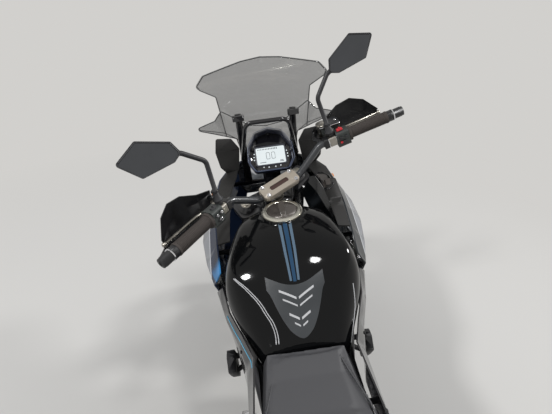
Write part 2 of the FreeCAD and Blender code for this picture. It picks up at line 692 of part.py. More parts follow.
@lru_cache(maxsize=None)
def rear_subframe():
    """Rails under the seats, braced down to the pivot plates, with a bridge for the tank's tail."""
    rail = pipe(list(RAIL), RAIL_RADIUS, 60)
    brace = pipe([V(600, 122, 545), V(260, 98, 742), V(180, 98, 770)], 11, 40)
    tank_x, _, _, _, _, tank_z = TANK_SECTIONS[-2]
    tank_bar = across(tank_x, tank_z - GAP - 10, -112, 112, 10)
    strut = rod(V(tank_x, 108, tank_z - 12), rail_at(tank_x), 9)
    pegs = []
    for x, y, z, rows in ((480, 150, 764, SIDE_ROWS), (160, 138, 799, TAIL_ROWS), (-110, 115, 842, TAIL_ROWS)):
        root = rail_at(x)
        peg = rod(root, root + (V(x, y, z) - root) * 2, 7)
        pegs.append(min(peg.cut(panel(rows, PANEL_WALL + GAP)).Solids, key=lambda s: s.CenterOfMass.y))
    half = [rail, brace, strut, *pegs]
    bridges = [across(x, rail_top(x) - RAIL_RADIUS, -y, y, 10)
               for x, y in ((300, 100), (-100, 86), (TAIL_BRIDGE_X, 54))]
    whole = join(*half, *[flip(p) for p in half], tank_bar, *bridges)
    return biggest(whole.cut(main_frame()))


def crankcase():
    """The lower engine: crankcase and gearbox in one casting with its sump, and a pocket for the chain."""
    half = ENGINE_HALF
    case = side_prism([(672, 300), (700, 268), (930, 268), (985, 330), (985, 440), (905, 520), (700, 520),
                       (672, 470)], -half, half, 26)
    sump = side_prism([(760, 250), (900, 250), (920, 270), (740, 270)], -80, 80, 6)
    pocket = block(650, 796, CHAIN_LINE - 14, half + 10, 336, 464, 0)
    return join(case, sump).cut(pocket)


@lru_cache(maxsize=None)
def engine():
    """A parallel twin: crankcase, with finned barrels and a head leaned forward, and the cam cover on top."""
    barrel = side_prism([(745, 516), (900, 516), (960, 640), (795, 660)], -94, 94, 8)
    fins = [side_prism([(738 + 9 * i, 540 + 22 * i), (922 + 9 * i, 536 + 22 * i), (925 + 9 * i, 544 + 22 * i),
                        (741 + 9 * i, 548 + 22 * i)], -99, 99) for i in range(4)]
    head = side_prism([(790, 650), (978, 626), (1000, 690), (962, 728), (830, 740)], -98, 98, 10)
    cover = side_prism([(840, 730), (955, 718), (950, 762), (850, 772)], -88, 88, 14)
    return join(crankcase(), barrel, head, cover, *fins)


def engine_covers():
    """Round covers: generator on the left, clutch on the right, and the chain-wheel cover on the left."""
    half = ENGINE_HALF + GAP
    generator = join(across(892, 385, half, 150, 74), across(892, 385, 150, 158, 58))
    clutch = join(across(820, 390, -150, -half, 88), across(820, 390, -160, -150, 66),
                  across(925, 350, -138, -half, 44))
    chainwheel = side_prism([(700, 326), (806, 326), (806, 474), (750, 474), (700, 436)], half, half + 26, 18)
    return Part.makeCompound([generator, clutch, chainwheel])


def radiator():
    """Core, side tanks and filler neck, tilted behind the front wheel."""
    core = block(-16, 16, -150, 150, -130, 130, 3)
    tank = join(block(-20, 20, 150, 182, -138, 138, 8), block(-20, 20, -182, -150, -138, 138, 8))
    neck = rod(V(0, -165, 130), V(0, -165, 158), 15)
    whole = join(core, tank, neck)
    whole.rotate(V(0, 0, 0), V(0, 1, 0), -16)
    whole.translate(V(1074, 0, 566))
    stays = [rod(V(1040, y, 680), V(1028, y, 748), 8) for y in (-113, 113)]
    return biggest(join(whole, *stays).cut(main_frame()))


PIPE_RADIUS = 20.0


def exhaust():
    """Two header pipes down the front of the engine into a box silencer under it, with its outlet low right."""
    half = pipe([V(982, 58, 658), V(1016, 58, 646), V(1014, 54, 430), V(990, 44, 222), V(820, 30, 208)],
                PIPE_RADIUS, 60)
    flange = rod(V(990, 58, 655), V(1003, 58, 650.5), 30)
    body = side_prism([(560, 176), (845, 168), (850, 238), (600, 246), (556, 226)], -118, 92, 22)
    outlet = pipe([V(640, -100, 206), V(630, -150, 204), V(596, -166, 200)], 24, 24)
    bore = rod(V(630, -158, 204), V(560, -184, 196), 18)
    return join(half, flip(half), flange, flip(flange), body, outlet).cut([bore, engine()])


@lru_cache(maxsize=None)
def swingarm():
    """Box arms from the pivot tube to the rear axle, outside the chain, with a cross beam ahead of the tyre."""
    arm = side_prism([(-48, 288), (-48, 336), (40, 346), (400, 424), (536, 420), (536, 356), (400, 350),
                      (60, 284)], ARM_Y0, ARM_Y1, 14)
    beam = side_prism([(352, 350), (520, 358), (536, 414), (370, 412)], -ARM_Y0 - 1, ARM_Y0 + 1, 12)
    neck = side_prism([(500, 362), (596, 380), (596, 420), (500, 414)], -PLATE_Y0 + GAP, PLATE_Y0 - GAP, 6)
    tube = across(PIVOT_X, PIVOT_Z, -PLATE_Y0 + GAP, PLATE_Y0 - GAP, 24)
    hollow = block(540, 640, -60, 60, 340, 460)
    whole = join(arm, flip(arm), beam, neck, tube).cut(hollow)
    return whole.cut([across(0, REAR_TYRE_RADIUS, -200, 200, AXLE_RADIUS + FIT),
                      across(PIVOT_X, PIVOT_Z, -200, 200, PIVOT_RADIUS + FIT)])


def rear_axle():
    shaft = across(0, REAR_TYRE_RADIUS, -150, 150, AXLE_RADIUS)
    collars = [across(0, REAR_TYRE_RADIUS, *y, 15) for y in (
        (ARM_Y1 + GAP, 150), (-150, -ARM_Y1 - GAP), (REAR_HUB_HALF + 1, ARM_Y0 - GAP),
        (GAP - CHAIN_LINE - DISC_THICKNESS / 2 - RUN, -REAR_HUB_HALF - 1))]
    return join(shaft, *collars).cut(across(0, REAR_TYRE_RADIUS, -200, 200, AXLE_BORE))


def drive_chain():
    """The chain as one closed loop round both chain wheels, hollow towards their teeth."""
    front_r, rear_r = 38.0, SPROCKET_PITCH_RADIUS
    front, rear = V(735, 0, 400), V(0, 0, REAR_TYRE_RADIUS)

    def loop(inset, y0, y1):
        a, b = front_r + inset, rear_r + inset
        span = front - rear
        tilt = math.atan2(span.z, span.x)
        lean = math.acos((b - a) / span.Length)
        ends = []
        for centre, r in ((front, a), (rear, b)):
            ends.append([centre + V(math.cos(tilt + s * lean), 0, math.sin(tilt + s * lean)) * r
                         for s in (1, -1)])
        far = front + V(math.cos(tilt), 0, math.sin(tilt)) * a
        near = rear - V(math.cos(tilt), 0, math.sin(tilt)) * b
        edges = [Part.LineSegment(ends[1][0], ends[0][0]).toShape(),
                 Part.Arc(ends[0][0], far, ends[0][1]).toShape(),
                 Part.LineSegment(ends[0][1], ends[1][1]).toShape(),
                 Part.Arc(ends[1][1], near, ends[1][0]).toShape()]
        face = Part.Face(Part.Wire(edges))
        face.translate(V(0, y0, 0))
        return face.extrude(V(0, y1 - y0, 0))
    y = CHAIN_LINE
    band = loop(7.5, y - 9, y + 9).cut(loop(-7.5, y - 10, y + 10))
    return band.cut(loop(6.0, y - 3.7, y + 3.7))


SHOCK_TOP = V(688, -62, 620)
SHOCK_LOW = V(470, -62, 414 + 15)


def shock():
    """The laid-down spring and damper between the frame's cross tube and the swingarm's beam."""
    low, high = SHOCK_LOW, SHOCK_TOP
    along = (high - low).normalize()
    length = (high - low).Length
    damper = rod(low, high, 13)
    turns = 8
    pitch = (length - 110) / (turns - 1)
    coils = [Part.makeTorus(26, 6, low + along * (46 + pitch * i), along) for i in range(turns)]
    collars = [rod(low + along * a, low + along * b, 31) for a, b in ((32, 38), (length - 58, length - 48))]
    sleeve = rod(low + along * 36, low + along * (length - 50), 21)
    eyes = [across(p.x, p.z, p.y - 14, p.y + 14, 15) for p in (low, high)]
    return join(damper, sleeve, *coils, *collars, *eyes).cut(swingarm())


BRACKET_Y = ARM_Y0 - GAP
REAR_CALIPER_ANGLE = 62.0


def rear_caliper():
    """The rear caliper on its bracket, which hangs on the axle inboard of the right arm."""
    body = caliper(0, REAR_TYRE_RADIUS, -CHAIN_LINE, REAR_DISC_RADIUS, REAR_CALIPER_ANGLE, -BRACKET_Y)
    plate = side_prism([(-22, -20), (90, -34), (90, 34), (-22, 20)], -BRACKET_Y,
                       -CHAIN_LINE - DISC_THICKNESS / 2 - RUN, 12)
    plate.rotate(V(0, 0, 0), V(0, 1, 0), -REAR_CALIPER_ANGLE)
    plate.translate(V(0, 0, REAR_TYRE_RADIUS))
    bore = across(0, REAR_TYRE_RADIUS, -150, 0, AXLE_RADIUS + FIT)
    return join(body, plate).cut(bore)


# Tank and seats: cross-sections along x

TANK_SECTIONS = (
    # x, crown z, crease half width, crease z, bottom half width, bottom z
    (992, 994, 84, 970, 112, 892),
    (930, 1018, 126, 990, 150, 858),
    (850, 1014, 146, 984, 172, 845),
    (762, 986, 156, 958, 178, 815),
    (696, 938, 112, 918, 158, 800),
    (640, 886, 76, 872, 132, 792),
    (TANK_REAR_X, 846, 62, 838, 108, 786),
)


def tank_section(x, crown, crease, crease_z, base, base_z):
    def at(y, z):
        return V(x, y, z)
    bulge = base + 0.35 * (crease - base) + 14
    waist = base_z + 0.55 * (crease_z - base_z)
    return Part.Wire([
        Part.LineSegment(at(-base, base_z), at(base, base_z)).toShape(),
        Part.Arc(at(base, base_z), at(bulge, waist), at(crease, crease_z)).toShape(),
        Part.Arc(at(crease, crease_z), at(0, crown), at(-crease, crease_z)).toShape(),
        Part.Arc(at(-crease, crease_z), at(-bulge, waist), at(-base, base_z)).toShape()])


CAP_X, CAP_Z = 918.0, 1020.0
CAP_RADIUS = 59.0


@lru_cache(maxsize=None)
def fuel_tank():
    body = Part.makeLoft([tank_section(*row) for row in TANK_SECTIONS], True, False)
    boss = Part.makeCone(CAP_RADIUS + 9, CAP_RADIUS + 3, CAP_Z - 985, V(CAP_X, 0, 985))
    return join(body, boss)


def tank_cap():
    """A bright ring with a sunk turning cap."""
    ring = rod(V(CAP_X, 0, CAP_Z), V(CAP_X, 0, CAP_Z + 5), CAP_RADIUS)
    edge = rod(V(CAP_X, 0, CAP_Z + 2), V(CAP_X, 0, CAP_Z + 6), CAP_RADIUS - 14)
    lid = rod(V(CAP_X, 0, CAP_Z + 2), V(CAP_X, 0, CAP_Z + 9), CAP_RADIUS - 16)
    grip = block(CAP_X - 38, CAP_X + 38, -9, 9, CAP_Z + 9, CAP_Z + 14, 8)
    return join(ring.cut(edge), lid, grip)


SEAT_SECTIONS = (
    # x, top z, half width at the top, half width at the base
    (TANK_REAR_X - GAP, 840, 96, 107),
    (520, 830, 104, 114),
    (440, 828, 112, 122),
    (360, 838, 122, 132),
    (SEAT_SPLIT_X + GAP / 2, 870, 122, 132),
)
PILLION_SECTIONS = (
    (SEAT_SPLIT_X - GAP / 2, 886, 112, 120),
    (230, 902, 102, 109),
    (60, 912, 100, 108),
    (-70, 908, 84, 94),
)


def seat_section(x, top, half_top, half_base):
    base = rail_top(x)
    points = [V(x, -half_base, base), V(x, half_base, base), V(x, half_base, base + 0.45 * (top - base)),
              V(x, half_top, top - 2), V(x, half_top * 0.4, top), V(x, -half_top * 0.4, top),
              V(x, -half_top, top - 2), V(x, -half_base, base + 0.45 * (top - base))]
    return Part.makePolygon(points + points[:1])


def seat(sections):
    return Part.makeLoft([seat_section(*row) for row in sections], True, True)


# Bodywork: thin panels through rows of (x, then y and z of each edge)

def panel(rows, wall=PANEL_WALL, ruled=True):
    """A left-hand panel whose outer face runs through the rows' points; its wall lies inboard."""
    loops = []
    for x, *edges in rows:
        outer = [V(x, y, z) for y, z in edges]
        inner = [V(x, y - wall, z) for y, z in edges[::-1]]
        loops.append(Part.makePolygon(outer + inner + outer[:1]))
    return Part.makeLoft(loops, True, ruled)


FAIRING_ROWS = (
    # x, (y, z) of top edge, shoulder, waist, lower shoulder, lower edge
    (1372, (112, 1006), (140, 966), (138, 930), (140, 892), (116, 852)),
    (1300, (158, 1016), (192, 964), (184, 912), (180, 852), (140, 794)),
    (1200, (196, 1012), (240, 938), (222, 870), (220, 780), (168, 706)),
    (1100, (212, 990), (264, 912), (238, 838), (236, 734), (186, 636)),
    (1010, (214, 964), (268, 888), (240, 812), (230, 712), (192, 606)),
    (920, (210, 934), (254, 864), (230, 800), (216, 730), (190, 668)),
    (830, (204, 898), (228, 854), (216, 818), (204, 790), (192, 766)),
)
SIDE_ROWS = (
    # x, (y, z) of top edge, shoulder and lower edge of the cover under the seat
    (829, (206, 852), (224, 826), (204, 768)),
    (740, (188, 832), (200, 800), (192, 716)),
    (660, (154, 826), (168, 792), (172, 682)),
    (590, (128, 828), (150, 784), (158, 656)),
    (430, (136, 828), (148, 784), (150, 686)),
    (300, (146, 862), (156, 806), (146, 736)),
)
TAIL_ROWS = (
    (298, (147, 866), (158, 830), (144, 760)),
    (100, (138, 884), (147, 852), (126, 800)),
    (-140, (112, 882), (116, 860), (104, 824)),
    (-330, (66, 884), (70, 868), (62, 846)),
)


def fairings():
    return pair(panel(FAIRING_ROWS))


def tail_panels():
    """The covers under the rider's seat and the cowls beside the pillion's."""
    return Part.makeCompound([pair(panel(SIDE_ROWS)), pair(panel(TAIL_ROWS))])


NOSE_X = 1372.0 + GAP
NOSE_ROWS = (
    # x, (y, z) of top edge, shoulder, waist, lower shoulder, lower edge
    (NOSE_X, (112, 1006), (140, 966), (138, 930), (140, 892), (116, 852)),
    (1424, (88, 988), (114, 954), (112, 924), (112, 886), (88, 850)),
    (1468, (48, 960), (70, 936), (68, 912), (64, 882), (44, 856)),
    (1498, (14, 932), (26, 920), (26, 904), (24, 884), (12, 868)),
)


def nose_loop(x, edges, inset):
    middle = (edges[0][1] + edges[-1][1]) / 2
    half = [V(x, y - inset, z - inset if z > middle else z + inset) for y, z in edges]
    points = half + [V(p.x, -p.y, p.z) for p in half[::-1]]
    return Part.makePolygon(points + points[:1])


def nose_solid(inset, back):
    return Part.makeLoft([nose_loop(x - back, edges, inset) for x, *edges in NOSE_ROWS], True, True)


def nose_cowl():
    """The hollow nose between the fairings, open at the back, cut for the two headlamps."""
    hollow = nose_solid(PANEL_WALL, PANEL_WALL + 2)
    return biggest(nose_solid(0, 0).cut([hollow, headlamp_prism(GAP), flip(headlamp_prism(GAP))]))


def headlamp_prism(grow):
    eye = [(14 - grow, 892 - grow), (14 - grow, 930 + grow), (84 + grow, 966 + grow), (98 + grow, 934 + grow),
           (66 + grow, 888 - grow)]
    return front_prism(eye, NOSE_X - 30, 1520, 4)


def headlamps():
    """Two slanted lamp units whose lenses follow the nose."""
    return pair(nose_solid(0.5, 0.5).common(headlamp_prism(0)))


SCREEN_BASE = (1338.0, 1070.0)     # x and z of its lower middle
SCREEN_TOP = (1196.0, 1430.0)
SCREEN_WALL = 4.0
UPPER_OUTLINE = ((0, 1408), (60, 1402), (182, 1375), (213, 1341), (157, 1301), (154, 1244), (150, 1150),
                 (60, 1130), (0, 1128))
LOWER_OUTLINE = ((0, 1160), (60, 1170), (152, 1246), (178, 1216), (236, 1204), (232, 1190), (116, 1126),
                 (104, 1052), (0, 1040))


def screen_sheet(inset):
    """A curved sheet that leans back; inset moves it towards the rider."""
    loops = []
    for k in (-0.2, 0.5, 1.15):
        x = SCREEN_BASE[0] + (SCREEN_TOP[0] - SCREEN_BASE[0]) * k - inset
        z = SCREEN_BASE[1] + (SCREEN_TOP[1] - SCREEN_BASE[1]) * k
        sag = 74 - 26 * k
        outer = Part.Arc(V(x - sag, -260, z), V(x, 0, z), V(x - sag, 260, z)).toShape()
        back = Part.Arc(V(x - sag - SCREEN_WALL, 260, z), V(x - SCREEN_WALL, 0, z),
                        V(x - sag - SCREEN_WALL, -260, z)).toShape()
        ends = [Part.LineSegment(V(x - sag, 260, z), V(x - sag - SCREEN_WALL, 260, z)).toShape(),
                Part.LineSegment(V(x - sag - SCREEN_WALL, -260, z), V(x - sag, -260, z)).toShape()]
        loops.append(Part.Wire([outer, ends[0], back, ends[1]]))
    return Part.makeLoft(loops, True, False)


def mirrored_outline(half):
    return list(half) + [(-y, z) for y, z in half[-2:0:-1]]


def upper_screen():
    return screen_sheet(0).common(front_prism(mirrored_outline(UPPER_OUTLINE), 1000, 1500, 12))


def lower_screen():
    return screen_sheet(SCREEN_WALL).common(front_prism(mirrored_outline(LOWER_OUTLINE), 1000, 1500, 8))


@lru_cache(maxsize=None)
def windscreen():
    """A tall upper sheet on a wider lower one with wing tips."""
    return join(upper_screen(), lower_screen())


BEAM_X, BEAM_Z = 1315.0, 930.0
POST_Y = 95.0
KNOB_X, KNOB_Z = 1242.0, 1218.0


def front_stay():
    """The bracket on the head tube that carries the nose, fairings, screen and instruments, with its arch."""
    arm = side_prism([(1150, 846), (1104, 944), (1180, 966), (1300, 948), (1330, 948), (1330, 914), (1290, 908),
                      (1200, 866)], -30, 30, 6)
    mast = side_prism([(1300, 930), (1330, 930), (1318, 1012), (1282, 1012)], -34, 34, 4)
    feet = [cluster_frame(rod(V(8, y, -34 - GAP), V(8, y, -122), 9)) for y in (-24, 24)]
    beam = across(BEAM_X, BEAM_Z, -220, 220, 10)
    beam = beam.cut(pair(panel(FAIRING_ROWS, PANEL_WALL + GAP)))
    beam = min(beam.Solids, key=lambda s: abs(s.CenterOfMass.y))
    parts = [arm, mast, beam, *feet]
    for side in (-1, 1):
        foot, top = V(BEAM_X, side * POST_Y, BEAM_Z), V(KNOB_X + 8, side * POST_Y, KNOB_Z + 10)
        parts.append(Part.makeLoft([rounded_wire([c + V(a, b, 0) for a, b in
                                                  ((-6, -w), (6, -w), (6, w), (-6, w))], 4)
                                    for c, w in ((foot, 16), (top, 11))], True, True))
        knob = block(KNOB_X - 16, KNOB_X, side * POST_Y - 20, side * POST_Y + 20, KNOB_Z - 9, KNOB_Z + 9, 5)
        parts += [rod(V(KNOB_X - 8, side * POST_Y, KNOB_Z), V(KNOB_X + 50, side * POST_Y, KNOB_Z), 6), knob]
    parts.append(pipe([V(1276, -103, 1050), V(1218, -74, 1202), V(1218, 74, 1202), V(1276, 103, 1050)], 7.5, 30))
    head_room = in_head(rod(V(0, 0, 800), V(0, 0, 1200), HEAD_TUBE_RADIUS + GAP))
    return biggest(join(*parts).cut([head_room, windscreen(), nose_solid(-GAP, 0), headlamps()]))


CLUSTER_CENTRE = V(1204, 0, 1080)
CLUSTER_TILT = 47.0
CLUSTER_OUTLINE = ((-60, -58), (60, -58), (82, -22), (78, 34), (48, 84), (0, 98), (-48, 84), (-78, 34),
                   (-82, -22))


def cluster_frame(shape):
    """Places a piece drawn face-up about the display's middle."""
    copy = shape.copy()
    copy.rotate(V(0, 0, 0), V(0, 1, 0), -CLUSTER_TILT)
    copy.translate(CLUSTER_CENTRE)
    return copy


def cluster_loop(scale, z):
    return rounded_wire([V(b * scale, a * scale, z) for a, b in CLUSTER_OUTLINE], 12)


def instrument_housing():
    body = Part.makeLoft([cluster_loop(0.82, -34), cluster_loop(1.0, -12), cluster_loop(1.0, 2)], True, True)
    hood = Part.makeLoft([cluster_loop(1.0, 2), cluster_loop(0.97, 20)], True, True)
    hollow = Part.makeLoft([cluster_loop(0.9, -4), cluster_loop(0.92, 25)], True, True)
    low_cut = block(-100, 10, -120, 120, 4, 60)
    low_cut.rotate(V(10, 0, 4), V(0, 1, 0), -14)
    return cluster_frame(join(body, hood).cut([hollow, low_cut]))


def instrument_display():
    return cluster_frame(Part.makeLoft([cluster_loop(0.895, -3.8), cluster_loop(0.895, -1)], True, True))


def inner_panels():
    """The dark shelves between the fairings and the instruments, each with an upright cheek beside the screen,
    and the right one with a lidded pocket."""
    loops = []
    inner_edge = {1300: (118, 1030), 1200: (134, 1016), 1100: (158, 1002), 1010: (164, 972), 920: (168, 942)}
    for x, (y, z), *_ in FAIRING_ROWS:
        if x in inner_edge:
            edge, (y1, z1) = y - PANEL_WALL - GAP, inner_edge[x]
            loops.append(Part.makePolygon([V(x, edge, z), V(x, y1, z1), V(x, y1, z1 - 5), V(x, edge, z - 5),
                                           V(x, edge, z)]))
    cheek = front_prism([(122, 1018), (108, 1104), (132, 1144), (186, 1150), (196, 1100), (188, 1040), (168, 1014)],
                        1247, 1253, 8)
    shelf = join(Part.makeLoft(loops, True, True), cheek)
    pocket = block(-46, 46, 166, 205, -14, 14, 8)
    pocket.rotate(V(0, 0, 0), V(0, 1, 0), -19)
    pocket.translate(V(1056, 0, 986))
    return Part.makeCompound([shelf, flip(join(shelf, pocket))])


# Fittings

def crash_bobbins():
    """Two-armed bumpers that stand out from the frame at each side of the engine."""
    pad = side_prism([(742, 560), (770, 600), (800, 596), (826, 540), (818, 470), (796, 452), (770, 500)],
                     212, 236, 12)
    front = pipe([V(800, 175, 560), V(800, 214, 560)], 9, 5)
    back = pipe([V(780, 176, 545), V(790, 214, 500)], 8, 5)
    return pair(join(pad, front, back).cut(main_frame()))


def footpegs():
    """Rider's pegs with rubber tops on cast hangers."""
    hanger = side_prism([(556, 330), (600, 322), (560, 392), (470, 430), (450, 400), (500, 350)],
                        PLATE_Y1 + GAP, PLATE_Y1 + 14, 12)
    peg = block(504, 540, PLATE_Y1 + 14, 262, 350, 366, 6)
    tread = block(502, 542, PLATE_Y1 + 26, 264, 366, 376, 5)
    arm = side_prism([(500, 340), (556, 336), (556, 372), (500, 376)], PLATE_Y1 + 6, PLATE_Y1 + 20, 8)
    arm_room = block(440, 548, 0, ARM_Y1 + 2, 300, 460)
    return pair(join(hanger.cut(arm_room), arm, peg, tread))


def pillion_pegs():
    """Passenger pegs on stays that hang from the rear rails."""
    stay = side_prism([(330, 768), (372, 764), (300, 470), (262, 470)], 112, 124, 10)
    peg = block(264, 296, 124, 228, 466, 482, 6)
    return pair(join(stay, peg).cut(rear_subframe()))


def foot_controls():
    """The gear lever on the left and the rear brake pedal on the right."""
    root = PLATE_Y1 + GAP
    gear = join(across(650, 345, root, root + 16, 11),
                pipe([V(650, root + 8, 345), V(708, 158, 322), V(738, 200, 322)], 6, 14), across(738, 322, 190, 228, 9))
    brake = join(across(640, 335, root, root + 16, 12),
                 pipe([V(640, root + 8, 335), V(700, 176, 306), V(728, 190, 306)], 6.5, 12),
                 block(716, 742, 172, 222, 306, 316, 5))
    return Part.makeCompound([gear, flip(brake)])


def luggage_rack():
    """Grab rails joined by a carrier plate with four bolt holes."""
    rail = pipe([V(206, 108, 776), V(206, 123, 802), V(170, 126, 900), V(-60, 120, 926), V(-200, 96, 928)], 9, 30)
    leg = rod(V(-215, 60, 808), V(-215, 60, 926), 8)
    plate = top_prism([(-60, -74), (-60, 74), (-110, 92), (-260, 84), (-300, 50), (-300, -50), (-260, -84),
                       (-110, -92)], 924, RACK_TOP, 22)
    slots = [block(-230, -130, y - 14, y + 14, 900, 950, 10) for y in (-28, 28)]
    bolts = [rod(V(RACK_X + x, y, 900), V(RACK_X + x, y, 950), RACK_HOLE) for x in (-60, 60) for y in (-60, 60)]
    whole = join(rail, flip(rail), leg, flip(leg), plate.cut(slots))
    return biggest(whole.cut(bolts + [rear_subframe()]))


RACK_X, RACK_TOP, RACK_HOLE = -180.0, 932.0, 4.25


def tail_lamp():
    front = TAIL_BRIDGE_X - 10 - GAP
    return side_prism([(front - 50, 872), (front - 48, 838), (front, 790), (front, 880)], -56, 56, 8)


def rear_mudguard():
    """The tongue that carries the blank plate behind the tyre."""
    tongue = side_prism([(-236, 806), (-276, 806), (-296, 790), (-436, 560), (-404, 560), (-236, 780)], -50, 50, 8)
    plate = side_prism([(-326, 740), (-331, 743), (-436, 571), (-431, 568)], -90, 90)
    return biggest(join(tongue, plate).cut(rear_subframe()))


def lamp_pod(root, y0, y1):
    """An indicator on its stalk, from y0 out to y1."""
    stalk = across(root.x, root.z, y0, y1, 6)
    pod = Part.makeLoft([rounded_wire([V(root.x + a * k, y, root.z + b * k) for a, b in
                                       ((-17, -14), (17, -14), (17, 14), (-17, 14))], 6 * k)
                         for y, k in ((y1 - 4, 1.0), (y1 + 46, 0.66))], True, True)
    return join(stalk, pod)


def indicators():
    """Four lamps on short stalks, two on the fairings and two on the rear tongue."""
    rear = lamp_pod(V(-286, 0, 776), 50 + GAP, 104)
    front = lamp_pod(V(1316, 0, 905), 150, 206).cut(panel(FAIRING_ROWS, PANEL_WALL + GAP))
    front = max(front.Solids, key=lambda s: s.CenterOfMass.y)
    return Part.makeCompound([pair(rear), pair(front)])


def rear_lights():
    return Part.makeCompound([tail_lamp(), indicators()])


# Side stand, in the parked frame

STAND_PIVOT = V(668, 142, 295)
STAND_FOOT_AHEAD = 60.0
STAND_FOOT_OUT = 205.0
STAND_FOLD = 92.0


def stand_points(pose):
    """The pivot and the foot on the floor, in the parked frame."""
    pivot = pose.multVec(STAND_PIVOT)
    foot = V(pivot.x + STAND_FOOT_AHEAD, pivot.y + STAND_FOOT_OUT, 0)
    return pivot, foot


def stand_axis(pose):
    """The hinge line: square to the leg, so that the folded leg lies back along the machine."""
    pivot, foot = stand_points(pose)
    leg = (foot - pivot).normalize()
    folded = pose.Rotation.multVec(V(-0.985, 0.10, 0.12)).normalize()
    return leg.cross(folded).normalize()


STAND_EYE = 20.0
TONGUE_HALF = 8.0


def side_stand(pose):
    """A round leg with a clevis at its hinge and a flat foot on the floor."""
    pivot, foot = stand_points(pose)
    axis = stand_axis(pose)
    down = (foot - pivot).normalize()
    ankle = foot - down * (14 / abs(down.z))
    root = pivot + down * (STAND_EYE + RUN + 6)
    leg = rod(root, ankle, 12)
    ears = []
    for side in (-1, 1):
        inner, outer = axis * (side * (TONGUE_HALF + GAP)), axis * (side * 16)
        ears.append(rod(pivot + inner, pivot + outer, STAND_EYE))
        across_leg = axis.cross(down).normalize() * 11
        corners = [pivot + inner - across_leg, pivot + inner + across_leg, root + inner + across_leg,
                   root + inner - across_leg]
        ears.append(Part.Face(Part.makePolygon(corners + corners[:1])).extrude(outer - inner))
    yoke = rod(root - down * 6, root + down * 6, 17)
    sole = block(-46, 34, -30, 34, 0, 8, 18)
    sole.translate(foot)
    shoe = rod(foot + V(0, 0, 4), foot + V(0, 0, 20), 18)
    bore = rod(pivot - axis * 30, pivot + axis * 30, 8 + FIT)
    return join(leg, *ears, yoke, sole, shoe).cut(bore)


def stand_tongue(pose):
    """The frame's tongue for the side stand, with the hinge bolt through it."""
    pivot, foot = stand_points(pose)
    axis = stand_axis(pose)
    up = (pivot - foot).normalize()
    bolt = rod(pivot - axis * 22, pivot + axis * 22, 8)
    eye = rod(pivot - axis * TONGUE_HALF, pivot + axis * TONGUE_HALF, STAND_EYE - 2)
    across_arm = axis.cross(up).normalize() * 16
    start = pivot - axis * TONGUE_HALF
    corners = [start - across_arm, start + across_arm, start + across_arm + up * 58, start - across_arm + up * 58]
    arm = Part.Face(Part.makePolygon(corners + corners[:1])).extrude(axis * (2 * TONGUE_HALF))
    return join(bolt, eye, arm)


# Putting it together

CHASSIS = {
    "main_frame": main_frame, "rear_subframe": rear_subframe, "engine": engine, "engine_covers": engine_covers,
    "radiator": radiator, "exhaust": exhaust, "swingarm": swingarm, "rear_axle": rear_axle,
    "drive_chain": drive_chain, "shock_absorber": shock, "rear_caliper": rear_caliper,
    "fuel_tank": fuel_tank, "tank_cap": tank_cap, "rider_seat": lambda: seat(SEAT_SECTIONS),
    "pillion_seat": lambda: seat(PILLION_SECTIONS), "side_fairings": fairings, "tail_panels": tail_panels,
    "nose_cowl": nose_cowl, "headlamps": headlamps, "windscreen": windscreen, "front_stay": front_stay,
    "instrument_housing": instrument_housing, "instrument_display": instrument_display,
    "inner_panels": inner_panels, "crash_bobbins": crash_bobbins, "footpegs": footpegs,
    "pillion_pegs": pillion_pegs, "foot_controls": foot_controls, "luggage_rack": luggage_rack,
    "rear_lights": rear_lights, "rear_mudguard": rear_mudguard,
}
STEERING = {
    "yokes": lambda: in_head(yokes()), "bar_clamp": lambda: in_head(bar_clamp()),
    "fork_tubes": lambda: in_head(fork_tubes()), "stanchions": lambda: in_head(stanchions()),
    "front_axle": lambda: in_head(front_axle()), "front_calipers": front_calipers,
    "front_mudguard": front_mudguard, "handlebar": handlebar, "grips": grips, "switchgear": switchgear,
    "hand_levers": hand_levers, "mirrors": mirrors, "mirror_glass": mirror_glass, "hand_guards": hand_guards,
}
FRONT_WHEEL = {
    "front_tyre": lambda: tyre(WHEELBASE, FRONT_TYRE_RADIUS, FRONT_TYRE_WIDTH, FRONT_RIM_WIDTH),
    "front_rim": lambda: rim(WHEELBASE, FRONT_TYRE_RADIUS, FRONT_RIM_WIDTH, FRONT_HUB_HALF, FRONT_HUB_HALF),
    "front_discs": lambda: pair(join(
        disc(WHEELBASE, FRONT_TYRE_RADIUS, FRONT_DISC_Y, FRONT_DISC_RADIUS, 112),
        disc_carrier(WHEELBASE, FRONT_TYRE_RADIUS, FRONT_DISC_Y, FRONT_HUB_HALF + GAP, 113))),
}
REAR_WHEEL = {
    "rear_tyre": lambda: tyre(0, REAR_TYRE_RADIUS, REAR_TYRE_WIDTH, REAR_RIM_WIDTH),
    "rear_rim": lambda: rim(0, REAR_TYRE_RADIUS, REAR_RIM_WIDTH, REAR_HUB_HALF, REAR_HUB_HALF),
    "rear_sprocket": sprocket,
    "rear_disc": lambda: join(disc(0, REAR_TYRE_RADIUS, -CHAIN_LINE, REAR_DISC_RADIUS, 80),
                              disc_carrier(0, REAR_TYRE_RADIUS, -CHAIN_LINE, -REAR_HUB_HALF - GAP, 81)),
}


def placements():
    """Where each group of pieces goes before the origin is set."""
    pose = parked_pose()
    steered = pose.multiply(steering_turn())
    return {"chassis": pose, "steering": steered, "front_wheel": steered, "rear_wheel": pose}


def moved(shape, placement):
    copy = shape.copy()
    copy.transformShape(placement.toMatrix(), True)
    return copy


